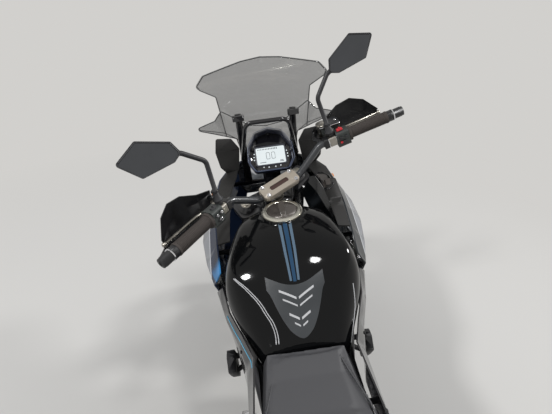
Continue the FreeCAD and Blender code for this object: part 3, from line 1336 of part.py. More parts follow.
def build():
    """Every node's shape in the row frame, and the shift that put the origin under the machine."""
    places = placements()
    pose = places["chassis"]
    nodes = {}
    for group, makers in (("chassis", CHASSIS), ("steering", STEERING), ("front_wheel", FRONT_WHEEL),
                          ("rear_wheel", REAR_WHEEL)):
        for name, maker in makers.items():
            nodes[name] = moved(maker(), places[group])
    nodes["side_stand"] = side_stand(pose)
    boxes = [shape.optimalBoundingBox() for shape in nodes.values()]
    x = (min(b.XMin for b in boxes) + max(b.XMax for b in boxes)) / 2
    y = (min(b.YMin for b in boxes) + max(b.YMax for b in boxes)) / 2
    z = min(b.ZMin for b in boxes)
    shift = V(-x, -y, -z)
    for shape in nodes.values():
        shape.translate(shift)
    return nodes, shift


def main():
    os.makedirs("parts", exist_ok=True)
    nodes, _ = build()
    for name, shape in nodes.items():
        shape.exportStep(os.path.join("parts", name + ".step"))


if __name__ == "__main__":
    main()
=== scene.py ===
"""Looks of the adventure motorcycle: finishes for its CAD nodes, and the pieces that replace or join them.

Local coordinates are those of the upright machine, in millimetres: +X forward from the rear axle's line,
+Y left, +Z up from the ground. The rig turns them into the parked frame in metres, for the chassis and for
what steers.
"""
from __future__ import annotations

import json
import logging
import math
from dataclasses import dataclass, field
from enum import Enum
from typing import Iterable, Sequence

import bmesh
import bpy
from mathutils import Matrix, Vector
from mathutils.bvhtree import BVHTree

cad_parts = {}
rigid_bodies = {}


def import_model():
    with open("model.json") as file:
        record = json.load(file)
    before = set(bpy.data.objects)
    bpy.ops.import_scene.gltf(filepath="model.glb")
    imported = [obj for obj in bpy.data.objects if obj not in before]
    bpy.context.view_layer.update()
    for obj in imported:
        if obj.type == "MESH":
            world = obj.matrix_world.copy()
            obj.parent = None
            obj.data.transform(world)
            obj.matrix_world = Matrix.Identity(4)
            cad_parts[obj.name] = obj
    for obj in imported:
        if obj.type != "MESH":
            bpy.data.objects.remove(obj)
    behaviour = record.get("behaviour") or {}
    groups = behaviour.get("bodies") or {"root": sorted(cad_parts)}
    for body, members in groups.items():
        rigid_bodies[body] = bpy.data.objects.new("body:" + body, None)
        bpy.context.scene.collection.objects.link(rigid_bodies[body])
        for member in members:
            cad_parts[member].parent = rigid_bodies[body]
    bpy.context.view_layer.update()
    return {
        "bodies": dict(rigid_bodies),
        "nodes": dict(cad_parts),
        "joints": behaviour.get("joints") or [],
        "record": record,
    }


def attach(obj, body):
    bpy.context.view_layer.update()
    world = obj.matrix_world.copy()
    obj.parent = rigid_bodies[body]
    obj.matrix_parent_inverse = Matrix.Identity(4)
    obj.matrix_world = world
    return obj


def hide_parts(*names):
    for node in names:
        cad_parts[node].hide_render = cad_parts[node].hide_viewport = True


LOG = logging.getLogger("motorcycle")
Colour = tuple[float, float, float]
Pair = tuple[float, float]
Triple = tuple[float, float, float]
Pairs = tuple[Pair, ...]
Triples = tuple[Triple, ...]
Rows = tuple[tuple, ...]
Node = bpy.types.Object
MM = 0.001
AHEAD, LEFT = Vector((1.0, 0.0, 0.0)), Vector((0.0, 1.0, 0.0))
UP, DOWN = Vector((0.0, 0.0, 1.0)), Vector((0.0, 0.0, -1.0))


# Where the machine stands

@dataclass(frozen=True)
class Rig:
    """The parked frames of the chassis and of the steered parts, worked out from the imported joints."""

    joints: Sequence[dict]
    rake: float = math.radians(25.0)
    wheelbase: float = 1415.0
    trail: float = 108.0
    rear_radius: float = 312.0
    front_radius: float = 300.0

    def frame(self, wheel: str, local_axle: Vector) -> Matrix:
        """Gives the matrix from local to parked coordinates, in metres, for the body that carries a wheel.

        Args:
            wheel: The name of the wheel's joint.
            local_axle: The wheel's centre in local metres.

        Returns:
            A rigid 4 by 4 matrix.
        """
        named = {j["name"]: j for j in self.joints}
        left = Vector(named[wheel]["axis"]).normalized()
        steer = Vector(named["steering_turn"]["axis"]).normalized()
        square = left.cross(steer).normalized()
        ahead = square * math.cos(self.rake) - steer * math.sin(self.rake)
        up = square * math.sin(self.rake) + steer * math.cos(self.rake)
        turn = Matrix((ahead, left, up)).transposed().to_4x4()
        return Matrix.Translation(Vector(named[wheel]["pos_m"]) - turn @ local_axle) @ turn

    @property
    def chassis(self) -> Matrix:
        """The chassis' frame."""
        return self.frame("rear_wheel_spin", Vector((0.0, 0.0, self.rear_radius)) * MM)

    @property
    def steered(self) -> Matrix:
        """The steered parts' frame."""
        return self.frame("front_wheel_spin", Vector((self.wheelbase, 0.0, self.front_radius)) * MM)

    def of(self, body: str) -> Matrix:
        """Gives the frame that a body's pieces are drawn in."""
        return self.steered if body in ("steering", "front_wheel") else self.chassis

    def head(self, ahead: float, side: float, along: float) -> Vector:
        """Gives the local point that lies ahead of the steering axis, and along it from the ground."""
        lean, reach = math.sin(self.rake), math.cos(self.rake)
        return Vector((self.wheelbase + self.trail - along * lean + ahead * reach, side,
                       along * reach + ahead * lean))


def mirrored(points: Iterable[Vector | Triple]) -> list[Vector]:
    """Gives points on the other side of the machine."""
    return [Vector((p[0], -p[1], p[2])) for p in points]


# Shaders as Python expressions

class Term:
    """A shader value that takes part in Python arithmetic; each operation adds a Math node."""

    def __init__(self, shader: "Shader", socket: bpy.types.NodeSocket) -> None:
        """Wraps a socket of a shader."""
        self.shader = shader
        self.socket = socket

    def math(self, operation: str, *others: "Term | float", clamp: bool = False) -> "Term":
        """Applies a Math operation to this value and others."""
        settings = {"operation": operation, "use_clamp": clamp}
        return self.shader.node("ShaderNodeMath", settings, {i: v for i, v in enumerate((self, *others))})

    def __add__(self, other: "Term | float") -> "Term":
        """Adds."""
        return self.math("ADD", other)

    __radd__ = __add__

    def __sub__(self, other: "Term | float") -> "Term":
        """Subtracts."""
        return self.math("SUBTRACT", other)

    def __rsub__(self, other: float) -> "Term":
        """Subtracts this from a number."""
        return self.shader.node("ShaderNodeMath", {"operation": "SUBTRACT"}, {0: other, 1: self})

    def __mul__(self, other: "Term | float") -> "Term":
        """Multiplies."""
        return self.math("MULTIPLY", other)

    __rmul__ = __mul__

    def __truediv__(self, other: "Term | float") -> "Term":
        """Divides."""
        return self.math("DIVIDE", other)

    def __rtruediv__(self, other: float) -> "Term":
        """Divides a number by this."""
        return self.shader.node("ShaderNodeMath", {"operation": "DIVIDE"}, {0: other, 1: self})

    def __abs__(self) -> "Term":
        """Takes the size without the sign."""
        return self.math("ABSOLUTE")

    def above(self, edge: "Term | float") -> "Term":
        """Is 1 where this is above an edge, and 0 elsewhere."""
        return self.math("GREATER_THAN", edge)

    def below(self, edge: "Term | float") -> "Term":
        """Is 1 where this is below an edge, and 0 elsewhere."""
        return self.math("LESS_THAN", edge)

    def ramp(self, low: float, high: float, to_low: float = 0.0, to_high: float = 1.0) -> "Term":
        """Maps a range of this value smoothly to another, and holds its ends."""
        return self.shader.node("ShaderNodeMapRange", {"interpolation_type": "SMOOTHSTEP"},
                                {"Value": self, "From Min": low, "From Max": high, "To Min": to_low,
                                 "To Max": to_high})


class Shader:
    """One material, or the world, under construction."""

    def __init__(self, name: str, world: bool = False) -> None:
        """Starts an empty material or world of that name."""
        self.material = (bpy.data.worlds if world else bpy.data.materials).new(name)
        self.material.use_nodes = True
        self.tree = self.material.node_tree
        self.tree.nodes.clear()

    def node(self, kind: str, settings: dict | None = None, inputs: dict | None = None,
             output: int | str = 0) -> Term:
        """Adds a node.

        Args:
            kind: The node's type.
            settings: Its properties, set first.
            inputs: Values or links of its sockets, by name or place.
            output: The output to return.

        Returns:
            The chosen output as a term.
        """
        made = self.tree.nodes.new(kind)
        for key, value in (settings or {}).items():
            setattr(made, key, value)
        for key, value in (inputs or {}).items():
            self.plug(made.inputs[key], value)
        return Term(self, made.outputs[output])

    def plug(self, socket: bpy.types.NodeSocket, value: object) -> None:
        """Links or sets a socket."""
        if isinstance(value, Term):
            self.tree.links.new(value.socket, socket)
        elif isinstance(value, tuple) and len(value) == 3 and socket.type == "RGBA":
            socket.default_value = (*value, 1.0)
        else:
            socket.default_value = value

    def place(self, frame: Matrix | None = None) -> Term:
        """Gives object coordinates, read in a local frame if one is given."""
        coords = self.node("ShaderNodeTexCoord", output="Object")
        if frame is None:
            return coords
        return self.node("ShaderNodeMapping", {"vector_type": "TEXTURE"},
                         {"Vector": coords, "Location": tuple(frame.translation),
                          "Rotation": tuple(frame.to_euler("XYZ"))})

    def stretched(self, place: Term, scale: tuple[float, float, float]) -> Term:
        """Scales coordinates differently along each axis."""
        return self.node("ShaderNodeMapping", {"vector_type": "POINT"}, {"Vector": place, "Scale": scale})

    def split(self, vector: Term) -> tuple[Term, Term, Term]:
        """Gives a vector's three parts."""
        made = self.tree.nodes.new("ShaderNodeSeparateXYZ")
        self.plug(made.inputs[0], vector)
        return Term(self, made.outputs[0]), Term(self, made.outputs[1]), Term(self, made.outputs[2])

    def noise(self, place: Term, scale: float, detail: float = 3.0, rough: float = 0.5) -> Term:
        """Gives smooth noise from 0 to 1."""
        return self.node("ShaderNodeTexNoise", None,
                         {"Vector": place, "Scale": scale, "Detail": detail, "Roughness": rough})

    def cells(self, place: Term, scale: float, feature: str = "F1") -> Term:
        """Gives the distance pattern of a Voronoi texture."""
        return self.node("ShaderNodeTexVoronoi", {"feature": feature}, {"Vector": place, "Scale": scale})

    def mix(self, factor: Term | float, a: Term | Colour, b: Term | Colour) -> Term:
        """Mixes two colours."""
        made = self.tree.nodes.new("ShaderNodeMix")
        made.data_type = "RGBA"
        self.plug(made.inputs["Factor"], factor)
        self.plug(made.inputs[6], a)
        self.plug(made.inputs[7], b)
        return Term(self, made.outputs[2])

    def bump(self, height: Term, distance: float, strength: float) -> Term:
        """Turns a height into a normal."""
        return self.node("ShaderNodeBump", None,
                         {"Height": height, "Distance": distance, "Strength": strength})

    def finish(self, **inputs: object) -> bpy.types.Material:
        """Ends the material in a Principled surface with these inputs, underscores standing for spaces."""
        named = {key.replace("_", " "): value for key, value in inputs.items()}
        self.node_output(self.node("ShaderNodeBsdfPrincipled", None, named))
        return self.material

    def node_output(self, surface: Term, kind: str = "ShaderNodeOutputMaterial") -> None:
        """Links a surface to the output."""
        out = self.tree.nodes.new(kind)
        self.tree.links.new(surface.socket, out.inputs["Surface"])


# Finishes

def shaded(colour: Colour, share: float) -> Colour:
    """Gives a colour made darker or paler by a share."""
    return tuple(share * c for c in colour)


@dataclass(frozen=True)
class Gloss:
    """Lacquered paint or plastic with faint flow marks and polish haze, under a clear coat if it has one."""

    name: str
    colour: Colour
    rough: float = 0.22
    coat: float = 0.6
    flow: float = 0.00025
    shine: float = 0.5

    def build(self, rig: Rig) -> bpy.types.Material:
        """Builds the material."""
        sh = Shader(self.name)
        place = sh.place()
        haze = sh.noise(place, 9.0, 4.0)
        peel = sh.noise(place, 160.0, 2.0)
        deep = shaded(self.colour, 0.8)
        return sh.finish(Base_Color=sh.mix(haze, deep, self.colour), Roughness=haze.ramp(0.3, 0.8, self.rough,
                         self.rough + 0.06), Coat_Weight=self.coat, Coat_Roughness=0.03,
                         Specular_IOR_Level=self.shine, Normal=sh.bump(peel, self.flow, 0.2))


@dataclass(frozen=True)
class FairingLacquer:
    """Fairing paint: dark inside the shoulder line, silver-grey outside it; inside the line the left side is
    blue and the right grey, a painted difference of reflection between the two sides, and the left side's
    upper rear part carries a painted blue highlight.
    """

    name: str
    # left and right: one paint in two colours, a painted difference of reflection between the sides; tip: the
    # colour of a painted highlight
    left: Colour = (0.010, 0.018, 0.042)
    right: Colour = (0.018, 0.021, 0.024)
    outer: Colour = (0.26, 0.27, 0.29)
    tip: Colour = (0.03, 0.20, 0.46)
    line: Colour = (0.55, 0.56, 0.58)
    shoulder: Pair = (0.2385, 0.2400)

    def build(self, rig: Rig) -> bpy.types.Material:
        """Builds the material."""
        sh = Shader(self.name)
        x, y, z = sh.split(sh.place(rig.chassis))
        side = abs(y)
        # painted reflection: the left and right sides take different colours
        inner = sh.mix(y.above(0.0), self.right, self.left)
        # painted highlight: a bright blue patch at the upper rear of the left side
        glow = (1.0 - x.ramp(0.845, 0.885)) * z.ramp(0.862, 0.874) * y.above(0.0)
        inner = sh.mix(glow, inner, self.tip)
        edge = side.ramp(self.shoulder[0] - 0.0022, self.shoulder[0] - 0.0017)
        lined = sh.mix(edge * z.above(0.83) * x.below(1.27), inner, self.line)
        outside = side.ramp(*self.shoulder) * x.below(1.27)
        haze = sh.noise(sh.place(), 7.0, 3.0)
        flake = sh.noise(sh.place(), 900.0, 2.0)
        colour = sh.mix(outside, lined, sh.mix(haze, self.outer, shaded(self.outer, 0.8)))
        return sh.finish(Base_Color=colour, Roughness=haze.ramp(0.3, 0.8, 0.12, 0.2), Specular_IOR_Level=0.32,
                         Normal=sh.bump(flake, 0.00012, 0.2))


@dataclass(frozen=True)
class Moulded:
    """Moulded plastic or rubber with a fine spark-eroded grain."""

    name: str
    colour: Colour
    rough: float = 0.5
    grain: float = 900.0
    depth: float = 0.0002

    def build(self, rig: Rig) -> bpy.types.Material:
        """Builds the material."""
        sh = Shader(self.name)
        place = sh.place()
        grain = sh.cells(place, self.grain)
        cloud = sh.noise(place, 14.0, 3.0)
        pale = tuple(min(1.0, 1.35 * c + 0.004) for c in self.colour)
        return sh.finish(Base_Color=sh.mix(cloud, self.colour, pale),
                         Roughness=cloud.ramp(0.3, 0.7, self.rough - 0.06, self.rough + 0.08),
                         Normal=sh.bump(grain, self.depth, 0.6))


@dataclass(frozen=True)
class Cast:
    """Painted or bare castings with a sand-cast skin, and a little dust in random patches."""

    name: str
    colour: Colour
    metal: float = 0.3
    rough: float = 0.5

    def build(self, rig: Rig) -> bpy.types.Material:
        """Builds the material."""
        sh = Shader(self.name)
        place = sh.place()
        skin = sh.noise(place, 420.0, 5.0, 0.6)
        cloud = sh.noise(place, 11.0, 4.0)
        dust = tuple(0.7 * c + 0.05 for c in self.colour)
        return sh.finish(Base_Color=sh.mix(cloud.ramp(0.55, 0.8, 0.0, 0.35), self.colour, dust),
                         Metallic=self.metal,
                         Roughness=skin.ramp(0.3, 0.7, self.rough - 0.05, self.rough + 0.1),
                         Normal=sh.bump(skin, 0.0004, 0.5))


@dataclass(frozen=True)
class Bright:
    """Bare metal: turned, brushed or plated, with grain along one axis and faint marks."""

    name: str
    colour: Colour
    rough: float = 0.25
    grain: Triple = (40.0, 900.0, 40.0)
    depth: float = 0.00008

    def build(self, rig: Rig) -> bpy.types.Material:
        """Builds the material."""
        sh = Shader(self.name)
        place = sh.place()
        lines = sh.noise(sh.stretched(place, self.grain), 1.0, 3.0)
        cloud = sh.noise(place, 20.0, 4.0)
        dull = shaded(self.colour, 0.78)
        return sh.finish(Base_Color=sh.mix(cloud, dull, self.colour), Metallic=1.0,
                         Roughness=(lines * 0.6 + cloud * 0.4).ramp(0.3, 0.7, self.rough * 0.75,
                                                                    self.rough * 1.3),
                         Normal=sh.bump(lines, self.depth, 0.4))


@dataclass(frozen=True)
class HeatedSteel:
    """Header pipes that are straw and blue near the engine, and plain brushed steel further down."""

    name: str
    colour: Colour = (0.50, 0.47, 0.43)
    straw: Colour = (0.55, 0.38, 0.18)
    blue: Colour = (0.12, 0.14, 0.26)

    def build(self, rig: Rig) -> bpy.types.Material:
        """Builds the material."""
        sh = Shader(self.name)
        _, _, z = sh.split(sh.place(rig.chassis))
        cloud = sh.noise(sh.place(), 16.0, 4.0)
        height = z + cloud * 0.05
        tinted = sh.mix(height.ramp(0.42, 0.58), self.colour, self.straw)
        tinted = sh.mix(height.ramp(0.60, 0.68), tinted, self.blue)
        lines = sh.noise(sh.stretched(sh.place(), (60.0, 60.0, 700.0)), 1.0, 3.0)
        return sh.finish(Base_Color=tinted, Metallic=1.0, Roughness=(lines * 0.5 + cloud * 0.5).ramp(
                         0.3, 0.7, 0.26, 0.44), Normal=sh.bump(lines, 0.00008, 0.4))


@dataclass(frozen=True)
class TurnedDisc:
    """Ground steel of a brake disc, with circular marks about the wheel's axle."""

    name: str
    colour: Colour = (0.52, 0.51, 0.50)

    def build(self, rig: Rig) -> bpy.types.Material:
        """Builds the material."""
        sh = Shader(self.name)
        place = sh.place()
        cloud = sh.noise(place, 30.0, 4.0)
        marks = sh.noise(sh.stretched(place, (300.0, 80.0, 300.0)), 1.0, 2.0)
        dull = shaded(self.colour, 0.7)
        return sh.finish(Base_Color=sh.mix(cloud, dull, self.colour), Metallic=1.0,
                         Roughness=(marks * 0.6 + cloud * 0.4).ramp(0.3, 0.7, 0.22, 0.42),
                         Normal=sh.bump(marks, 0.00008, 0.4))


@dataclass(frozen=True)
class CapFinish:
    """The fuel cap: a cream-silver ring round a dark brown-grey lid."""

    name: str
    ring: Colour = (0.72, 0.70, 0.62)
    lid: Colour = (0.060, 0.052, 0.046)
    centre: Pair = (0.918, 0.0)
    lid_radius: float = 0.0435

    def build(self, rig: Rig) -> bpy.types.Material:
        """Builds the material."""
        sh = Shader(self.name)
        x, y, _ = sh.split(sh.place(rig.chassis))
        dx, dy = x - self.centre[0], y - self.centre[1]
        radius = (dx * dx + dy * dy).math("SQRT")
        outside = radius.above(self.lid_radius)
        cloud = sh.noise(sh.place(), 40.0, 4.0)
        fine = sh.noise(sh.place(), 700.0, 2.0)
        lid = sh.mix(cloud, self.lid, shaded(self.lid, 1.5))
        return sh.finish(Base_Color=sh.mix(outside, lid, self.ring), Metallic=outside * 0.7 + 0.3,
                         Roughness=cloud.ramp(0.3, 0.7, 0.26, 0.40), Normal=sh.bump(fine, 0.00015, 0.3))


@dataclass(frozen=True)
class Vinyl:
    """Seat vinyl: small leather-like cells, soft sheen, and a tone that turns darker and paler in soft random
    clouds.
    """

    name: str
    colour: Colour

    def build(self, rig: Rig) -> bpy.types.Material:
        """Builds the material."""
        sh = Shader(self.name)
        place = sh.place()
        warped = sh.noise(place, 60.0, 2.0)
        cell = sh.cells(place, 620.0, "SMOOTH_F1")
        cloud = sh.noise(place, 7.0, 4.0)
        pale = shaded(self.colour, 1.5)
        normal = sh.bump(cell + warped * 0.4, 0.0005, 0.45)
        return sh.finish(Base_Color=sh.mix(cloud, self.colour, pale),
                         Roughness=cell.ramp(0.1, 0.6, 0.42, 0.55), Normal=normal, Sheen_Weight=0.15,
                         Sheen_Roughness=0.4)


@dataclass(frozen=True)
class Clear:
    """Clear or smoked sheet, seen through in part, denser where it is seen edge-on."""

    name: str
    colour: Colour
    density: float
    rough: float = 0.03

    def build(self, rig: Rig) -> bpy.types.Material:
        """Builds the material."""
        sh = Shader(self.name)
        facing = sh.node("ShaderNodeLayerWeight", None, {"Blend": 0.35}, "Facing")
        dust = sh.noise(sh.place(), 35.0, 5.0)
        alpha = (facing * (1.0 - self.density) * 0.7 + self.density).math("ADD", dust * 0.03, clamp=True)
        return sh.finish(Base_Color=self.colour, Roughness=dust.ramp(0.3, 0.8, self.rough, self.rough + 0.05),
                         Alpha=alpha, Coat_Weight=1.0, Coat_Roughness=0.02, IOR=1.49)


@dataclass(frozen=True)
class LampPlastic:
    """Lens plastic: red in the middle of the tail, amber out on the stalks."""

    name: str
    red: Colour = (0.42, 0.008, 0.008)
    amber: Colour = (0.75, 0.22, 0.01)
    half_tail: float = 0.060

    def build(self, rig: Rig) -> bpy.types.Material:
        """Builds the material."""
        sh = Shader(self.name)
        _, y, _ = sh.split(sh.place(rig.chassis))
        outer = abs(y).above(self.half_tail)
        prisms = sh.cells(sh.stretched(sh.place(), (240.0, 240.0, 240.0)), 1.0)
        return sh.finish(Base_Color=sh.mix(outer, self.red, self.amber),
                         Roughness=prisms.ramp(0.1, 0.6, 0.08, 0.2), Coat_Weight=0.8, Coat_Roughness=0.02,
                         Normal=sh.bump(prisms, 0.0004, 0.4))


@dataclass(frozen=True)
class Lit:
    """A lit panel or marking."""

    name: str
    colour: Colour
    strength: float

    def build(self, rig: Rig) -> bpy.types.Material:
        """Builds the material."""
        sh = Shader(self.name)
        glow = sh.noise(sh.place(), 30.0, 2.0)
        return sh.finish(Base_Color=(0.03, 0.03, 0.03), Roughness=0.3, Emission_Strength=self.strength,
                         Emission_Color=sh.mix(glow.ramp(0.2, 0.8, 0.0, 0.2), self.colour, (1.0, 1.0, 1.0)))


class Finish(Enum):
    """The finishes by name, for CAD nodes and added pieces, each with the record's slot for new pieces."""

    FRAME = (Gloss("frame_paint", (0.012, 0.012, 0.014), 0.35, 0.5), "frame_paint")
    TANK = (Gloss("tank_lacquer", (0.003, 0.0032, 0.0036), 0.05, 0.0, 0.0002, 0.22), "tank_paint")
    FAIRING = (FairingLacquer("fairing_lacquer"), "blue_panel")
    # painted highlight: the pale blue of the line along the left side cover's edge
    BLUE_HIGHLIGHT = (Gloss("pale_blue_trim", (0.10, 0.34, 0.50), 0.22), "blue_panel")
    NOSE = (Gloss("nose_lacquer", (0.006, 0.008, 0.014), 0.16, 0.2), "blue_panel")
    PALE_STRIPE = (Gloss("pale_stripe", (0.085, 0.135, 0.19), 0.2, 0.1, 0.0002, 0.3), "blue_panel")
    BLUE_STRIPE = (Gloss("blue_stripe", (0.010, 0.048, 0.105), 0.18, 0.1, 0.0002, 0.3), "blue_panel")
    SILVER = (Gloss("silver_lacquer", (0.50, 0.50, 0.51), 0.28, 0.4), "aluminium")
    PAD = (Moulded("slate_pad", (0.019, 0.022, 0.025), 0.34, 700.0, 0.00012), "moulded_black")
    GLOSS_BLACK = (Gloss("gloss_black_plastic", (0.007, 0.007, 0.009), 0.14), "gloss_black")
    NAVY = (Moulded("navy_black_plastic", (0.009, 0.011, 0.022), 0.34, 800.0, 0.0001), "moulded_black")
    # painted highlight: a paler blue-grey for the instrument housing's edge lines
    BEVEL = (Gloss("blue_grey_edge", (0.07, 0.09, 0.15), 0.25, 0.3), "moulded_black")
    MOULDED = (Moulded("moulded_black_plastic", (0.014, 0.014, 0.016)), "moulded_black")
    INNER = (Moulded("brown_black_plastic", (0.005, 0.0046, 0.0042), 0.6), "moulded_black")
    HOUSING = (Moulded("grey_green_housing", (0.022, 0.026, 0.024), 0.4), "moulded_black")
    GUARD = (Moulded("guard_plastic", (0.006, 0.006, 0.007), 0.38, 500.0, 0.00008), "moulded_black")
    # painted shade: the dark red-brown inside the bar clamp's slot
    SLOT_SHADE = (Moulded("slot_shade", (0.030, 0.010, 0.007)), "bronze_clamp")
    POCKET = (Moulded("pocket_lid", (0.036, 0.031, 0.028), 0.42), "moulded_black")
    RED_SWITCH = (Moulded("red_switch", (0.42, 0.012, 0.020), 0.35), "moulded_black")
    GRIP = (Moulded("grip_rubber", (0.028, 0.023, 0.017), 0.5, 700.0), "grip_rubber")
    RUBBER = (Moulded("peg_rubber", (0.012, 0.012, 0.012), 0.7), "peg_rubber")
    TYRE = (Moulded("tyre_rubber", (0.013, 0.013, 0.014), 0.72, 420.0, 0.0002), "tyre_rubber")
    CASTING = (Cast("dark_casting", (0.035, 0.036, 0.038)), "dark_casting")
    COVER = (Cast("cover_casting", (0.060, 0.056, 0.050), 0.5, 0.42), "dark_casting")
    WHEEL = (Gloss("wheel_paint", (0.010, 0.010, 0.011), 0.3, 0.5), "dark_casting")
    RADIATOR = (Cast("radiator_black", (0.010, 0.010, 0.010), 0.1, 0.6), "radiator_black")
    CLAMP = (Cast("bronze_clamp", (0.060, 0.046, 0.034), 0.3, 0.45), "bronze_clamp")
    BAR = (Gloss("bar_coating", (0.030, 0.032, 0.036), 0.26, 0.3), "steel")
    STEEL = (Bright("brushed_steel", (0.55, 0.55, 0.56), 0.28), "steel")
    EXHAUST = (HeatedSteel("heated_steel"), "exhaust_steel")
    CHROME = (Bright("bright_plating", (0.80, 0.80, 0.82), 0.08), "chrome")
    STANCHION = (Bright("hard_chrome", (0.72, 0.72, 0.74), 0.10, (400.0, 400.0, 40.0)), "stanchion")
    FORK = (Gloss("fork_coating", (0.014, 0.014, 0.016), 0.26, 0.5), "fork_tube")
    ALUMINIUM = (Bright("satin_aluminium", (0.40, 0.38, 0.34), 0.32), "aluminium")
    DISC = (TurnedDisc("ground_disc"), "steel")
    CAP = (CapFinish("cap_metals"), "chrome")
    CAP_RING = (Bright("cap_ring_plating", (0.78, 0.76, 0.68), 0.2), "chrome")
    CAP_LID = (Moulded("cap_lid", (0.040, 0.034, 0.029), 0.3), "chrome")
    CHAIN = (Bright("oiled_steel", (0.30, 0.27, 0.22), 0.35), "chain_steel")
    GLASS_MIRROR = (Bright("mirror_silvering", (0.11, 0.115, 0.125), 0.03), "mirror")
    VINYL = (Vinyl("seat_vinyl", (0.026, 0.027, 0.028)), "seat_vinyl")
    THREAD = (Moulded("seat_thread", (0.05, 0.05, 0.052), 0.7, 2000.0), "seat_vinyl")
    SMOKED = (Clear("smoked_sheet", (0.10, 0.105, 0.11), 0.30), "smoked_screen")
    SHEET_EDGE = (Clear("sheet_edge", (0.03, 0.032, 0.035), 0.75), "smoked_screen")
    LENS = (Clear("lamp_lens", (0.75, 0.80, 0.85), 0.14), "lamp_lens")
    LAMP_LIT = (Lit("day_light", (0.85, 0.90, 1.0), 0.6), "lamp_lens")
    REAR_LENS = (LampPlastic("rear_lens_plastic"), "rear_lens")
    DIAL = (Gloss("dial_glass", (0.004, 0.004, 0.006), 0.08, 0.6), "display")
    DISPLAY = (Lit("display_panel", (0.80, 0.88, 0.90), 0.88), "display")
    MARK = (Gloss("display_marks", (0.10, 0.12, 0.14), 0.3, 0.0), "display")
    PLATE = (Gloss("blank_plate", (0.62, 0.62, 0.60), 0.3, 0.3), "moulded_black")

    def material(self, rig: Rig) -> bpy.types.Material:
        """Gives the finish's material, built at its first use."""
        look, _ = self.value
        found = bpy.data.materials.get(look.name)
        return found if found is not None else look.build(rig)

    @property
    def slot(self) -> str:
        """The record's slot listed for new pieces of this finish."""
        return self.value[1]


# Meshes

def dress(piece: Node, material: bpy.types.Material) -> Node:
    """Gives a piece one material."""
    piece.data.materials.clear()
    piece.data.materials.append(material)
    return piece


def smooth_by_angle(mesh: bpy.types.Mesh, degrees: float = 32.0) -> None:
    """Shades a mesh smooth, with sharp edges where faces turn by more than the angle."""
    for polygon in mesh.polygons:
        polygon.use_smooth = True
    mesh.set_sharp_from_angle(angle=math.radians(degrees))


def linked(name: str, mesh: bpy.types.Mesh) -> Node:
    """Puts a mesh in the scene as an object at the world origin."""
    piece = bpy.data.objects.new(name, mesh)
    bpy.context.scene.collection.objects.link(piece)
    return piece


def smooth_copy(node: Node, name: str, degrees: float = 32.0) -> Node:
    """Copies a CAD node's mesh with its corners merged and its curves shaded smooth.

    Args:
        node: The CAD node.
        name: The new piece's name.
        degrees: The turn above which an edge stays sharp.

    Returns:
        The new object, at the world origin as the node is.
    """
    mesh = node.data.copy()
    mesh.name = name
    bm = bmesh.new()
    bm.from_mesh(mesh)
    bmesh.ops.remove_doubles(bm, verts=bm.verts, dist=1e-5)
    bmesh.ops.dissolve_degenerate(bm, edges=bm.edges, dist=1e-6)
    bm.to_mesh(mesh)
    bm.free()
    smooth_by_angle(mesh, degrees)
    return linked(name, mesh)


def evaluated(piece: Node) -> bpy.types.Mesh:
    """Gives a piece's mesh with its modifiers applied."""
    depsgraph = bpy.context.evaluated_depsgraph_get()
    return bpy.data.meshes.new_from_object(piece.evaluated_get(depsgraph), depsgraph=depsgraph)


def eased(points: Sequence[Vector], steps: int = 8, closed: bool = False) -> list[Vector]:
    """Gives a smooth line through points, with so many steps between two of them."""
    count = len(points)
    line = []
    for i in range(count if closed else count - 1):
        if closed:
            a, b, c, d = (points[(i + k) % count] for k in (-1, 0, 1, 2))
        else:
            a, b, c, d = (points[min(max(i + k, 0), count - 1)] for k in (-1, 0, 1, 2))
        for step in range(steps):
            t = step / steps
            line.append(0.5 * ((2 * b) + (c - a) * t + (2 * a - 5 * b + 4 * c - d) * t ** 2
                               + (3 * b - a - 3 * c + d) * t ** 3))
    return line if closed else line + [Vector(points[-1])]


def rounded(points: Sequence[Pair], radius: float, steps: int = 4) -> list[Pair]:
    """Rounds the corners of a closed flat outline.

    Args:
        points: The outline's corners.
        radius: The largest corner radius.
        steps: Edges in each corner.

    Returns:
        The new outline.
    """
    line: list[Pair] = []
    count = len(points)
    for i, corner in enumerate(points):
        here, before, after = Vector(corner), Vector(points[i - 1]), Vector(points[(i + 1) % count])
        u, v = before - here, after - here
        half = u.angle(v) / 2
        leg = min(radius / math.tan(half), 0.48 * min(u.length, v.length))
        start, end = here + u.normalized() * leg, here + v.normalized() * leg
        for step in range(steps + 1):
            t = step / steps
            line.append(tuple(start.lerp(here, t).lerp(here.lerp(end, t), t)))
    return line


def resampled(points: Sequence[Vector], count: int) -> list[Vector]:
    """Gives so many points, evenly spaced along a line."""
    lengths = [0.0]
    for a, b in zip(points, points[1:]):
        lengths.append(lengths[-1] + (b - a).length)
    result = []
    for k in range(count):
        want = lengths[-1] * k / (count - 1)
        i = next((j for j in range(1, len(lengths)) if lengths[j] >= want - 1e-9), len(lengths) - 1)
        share = (want - lengths[i - 1]) / max(lengths[i] - lengths[i - 1], 1e-9)
        result.append(points[i - 1].lerp(points[i], share))
    return result


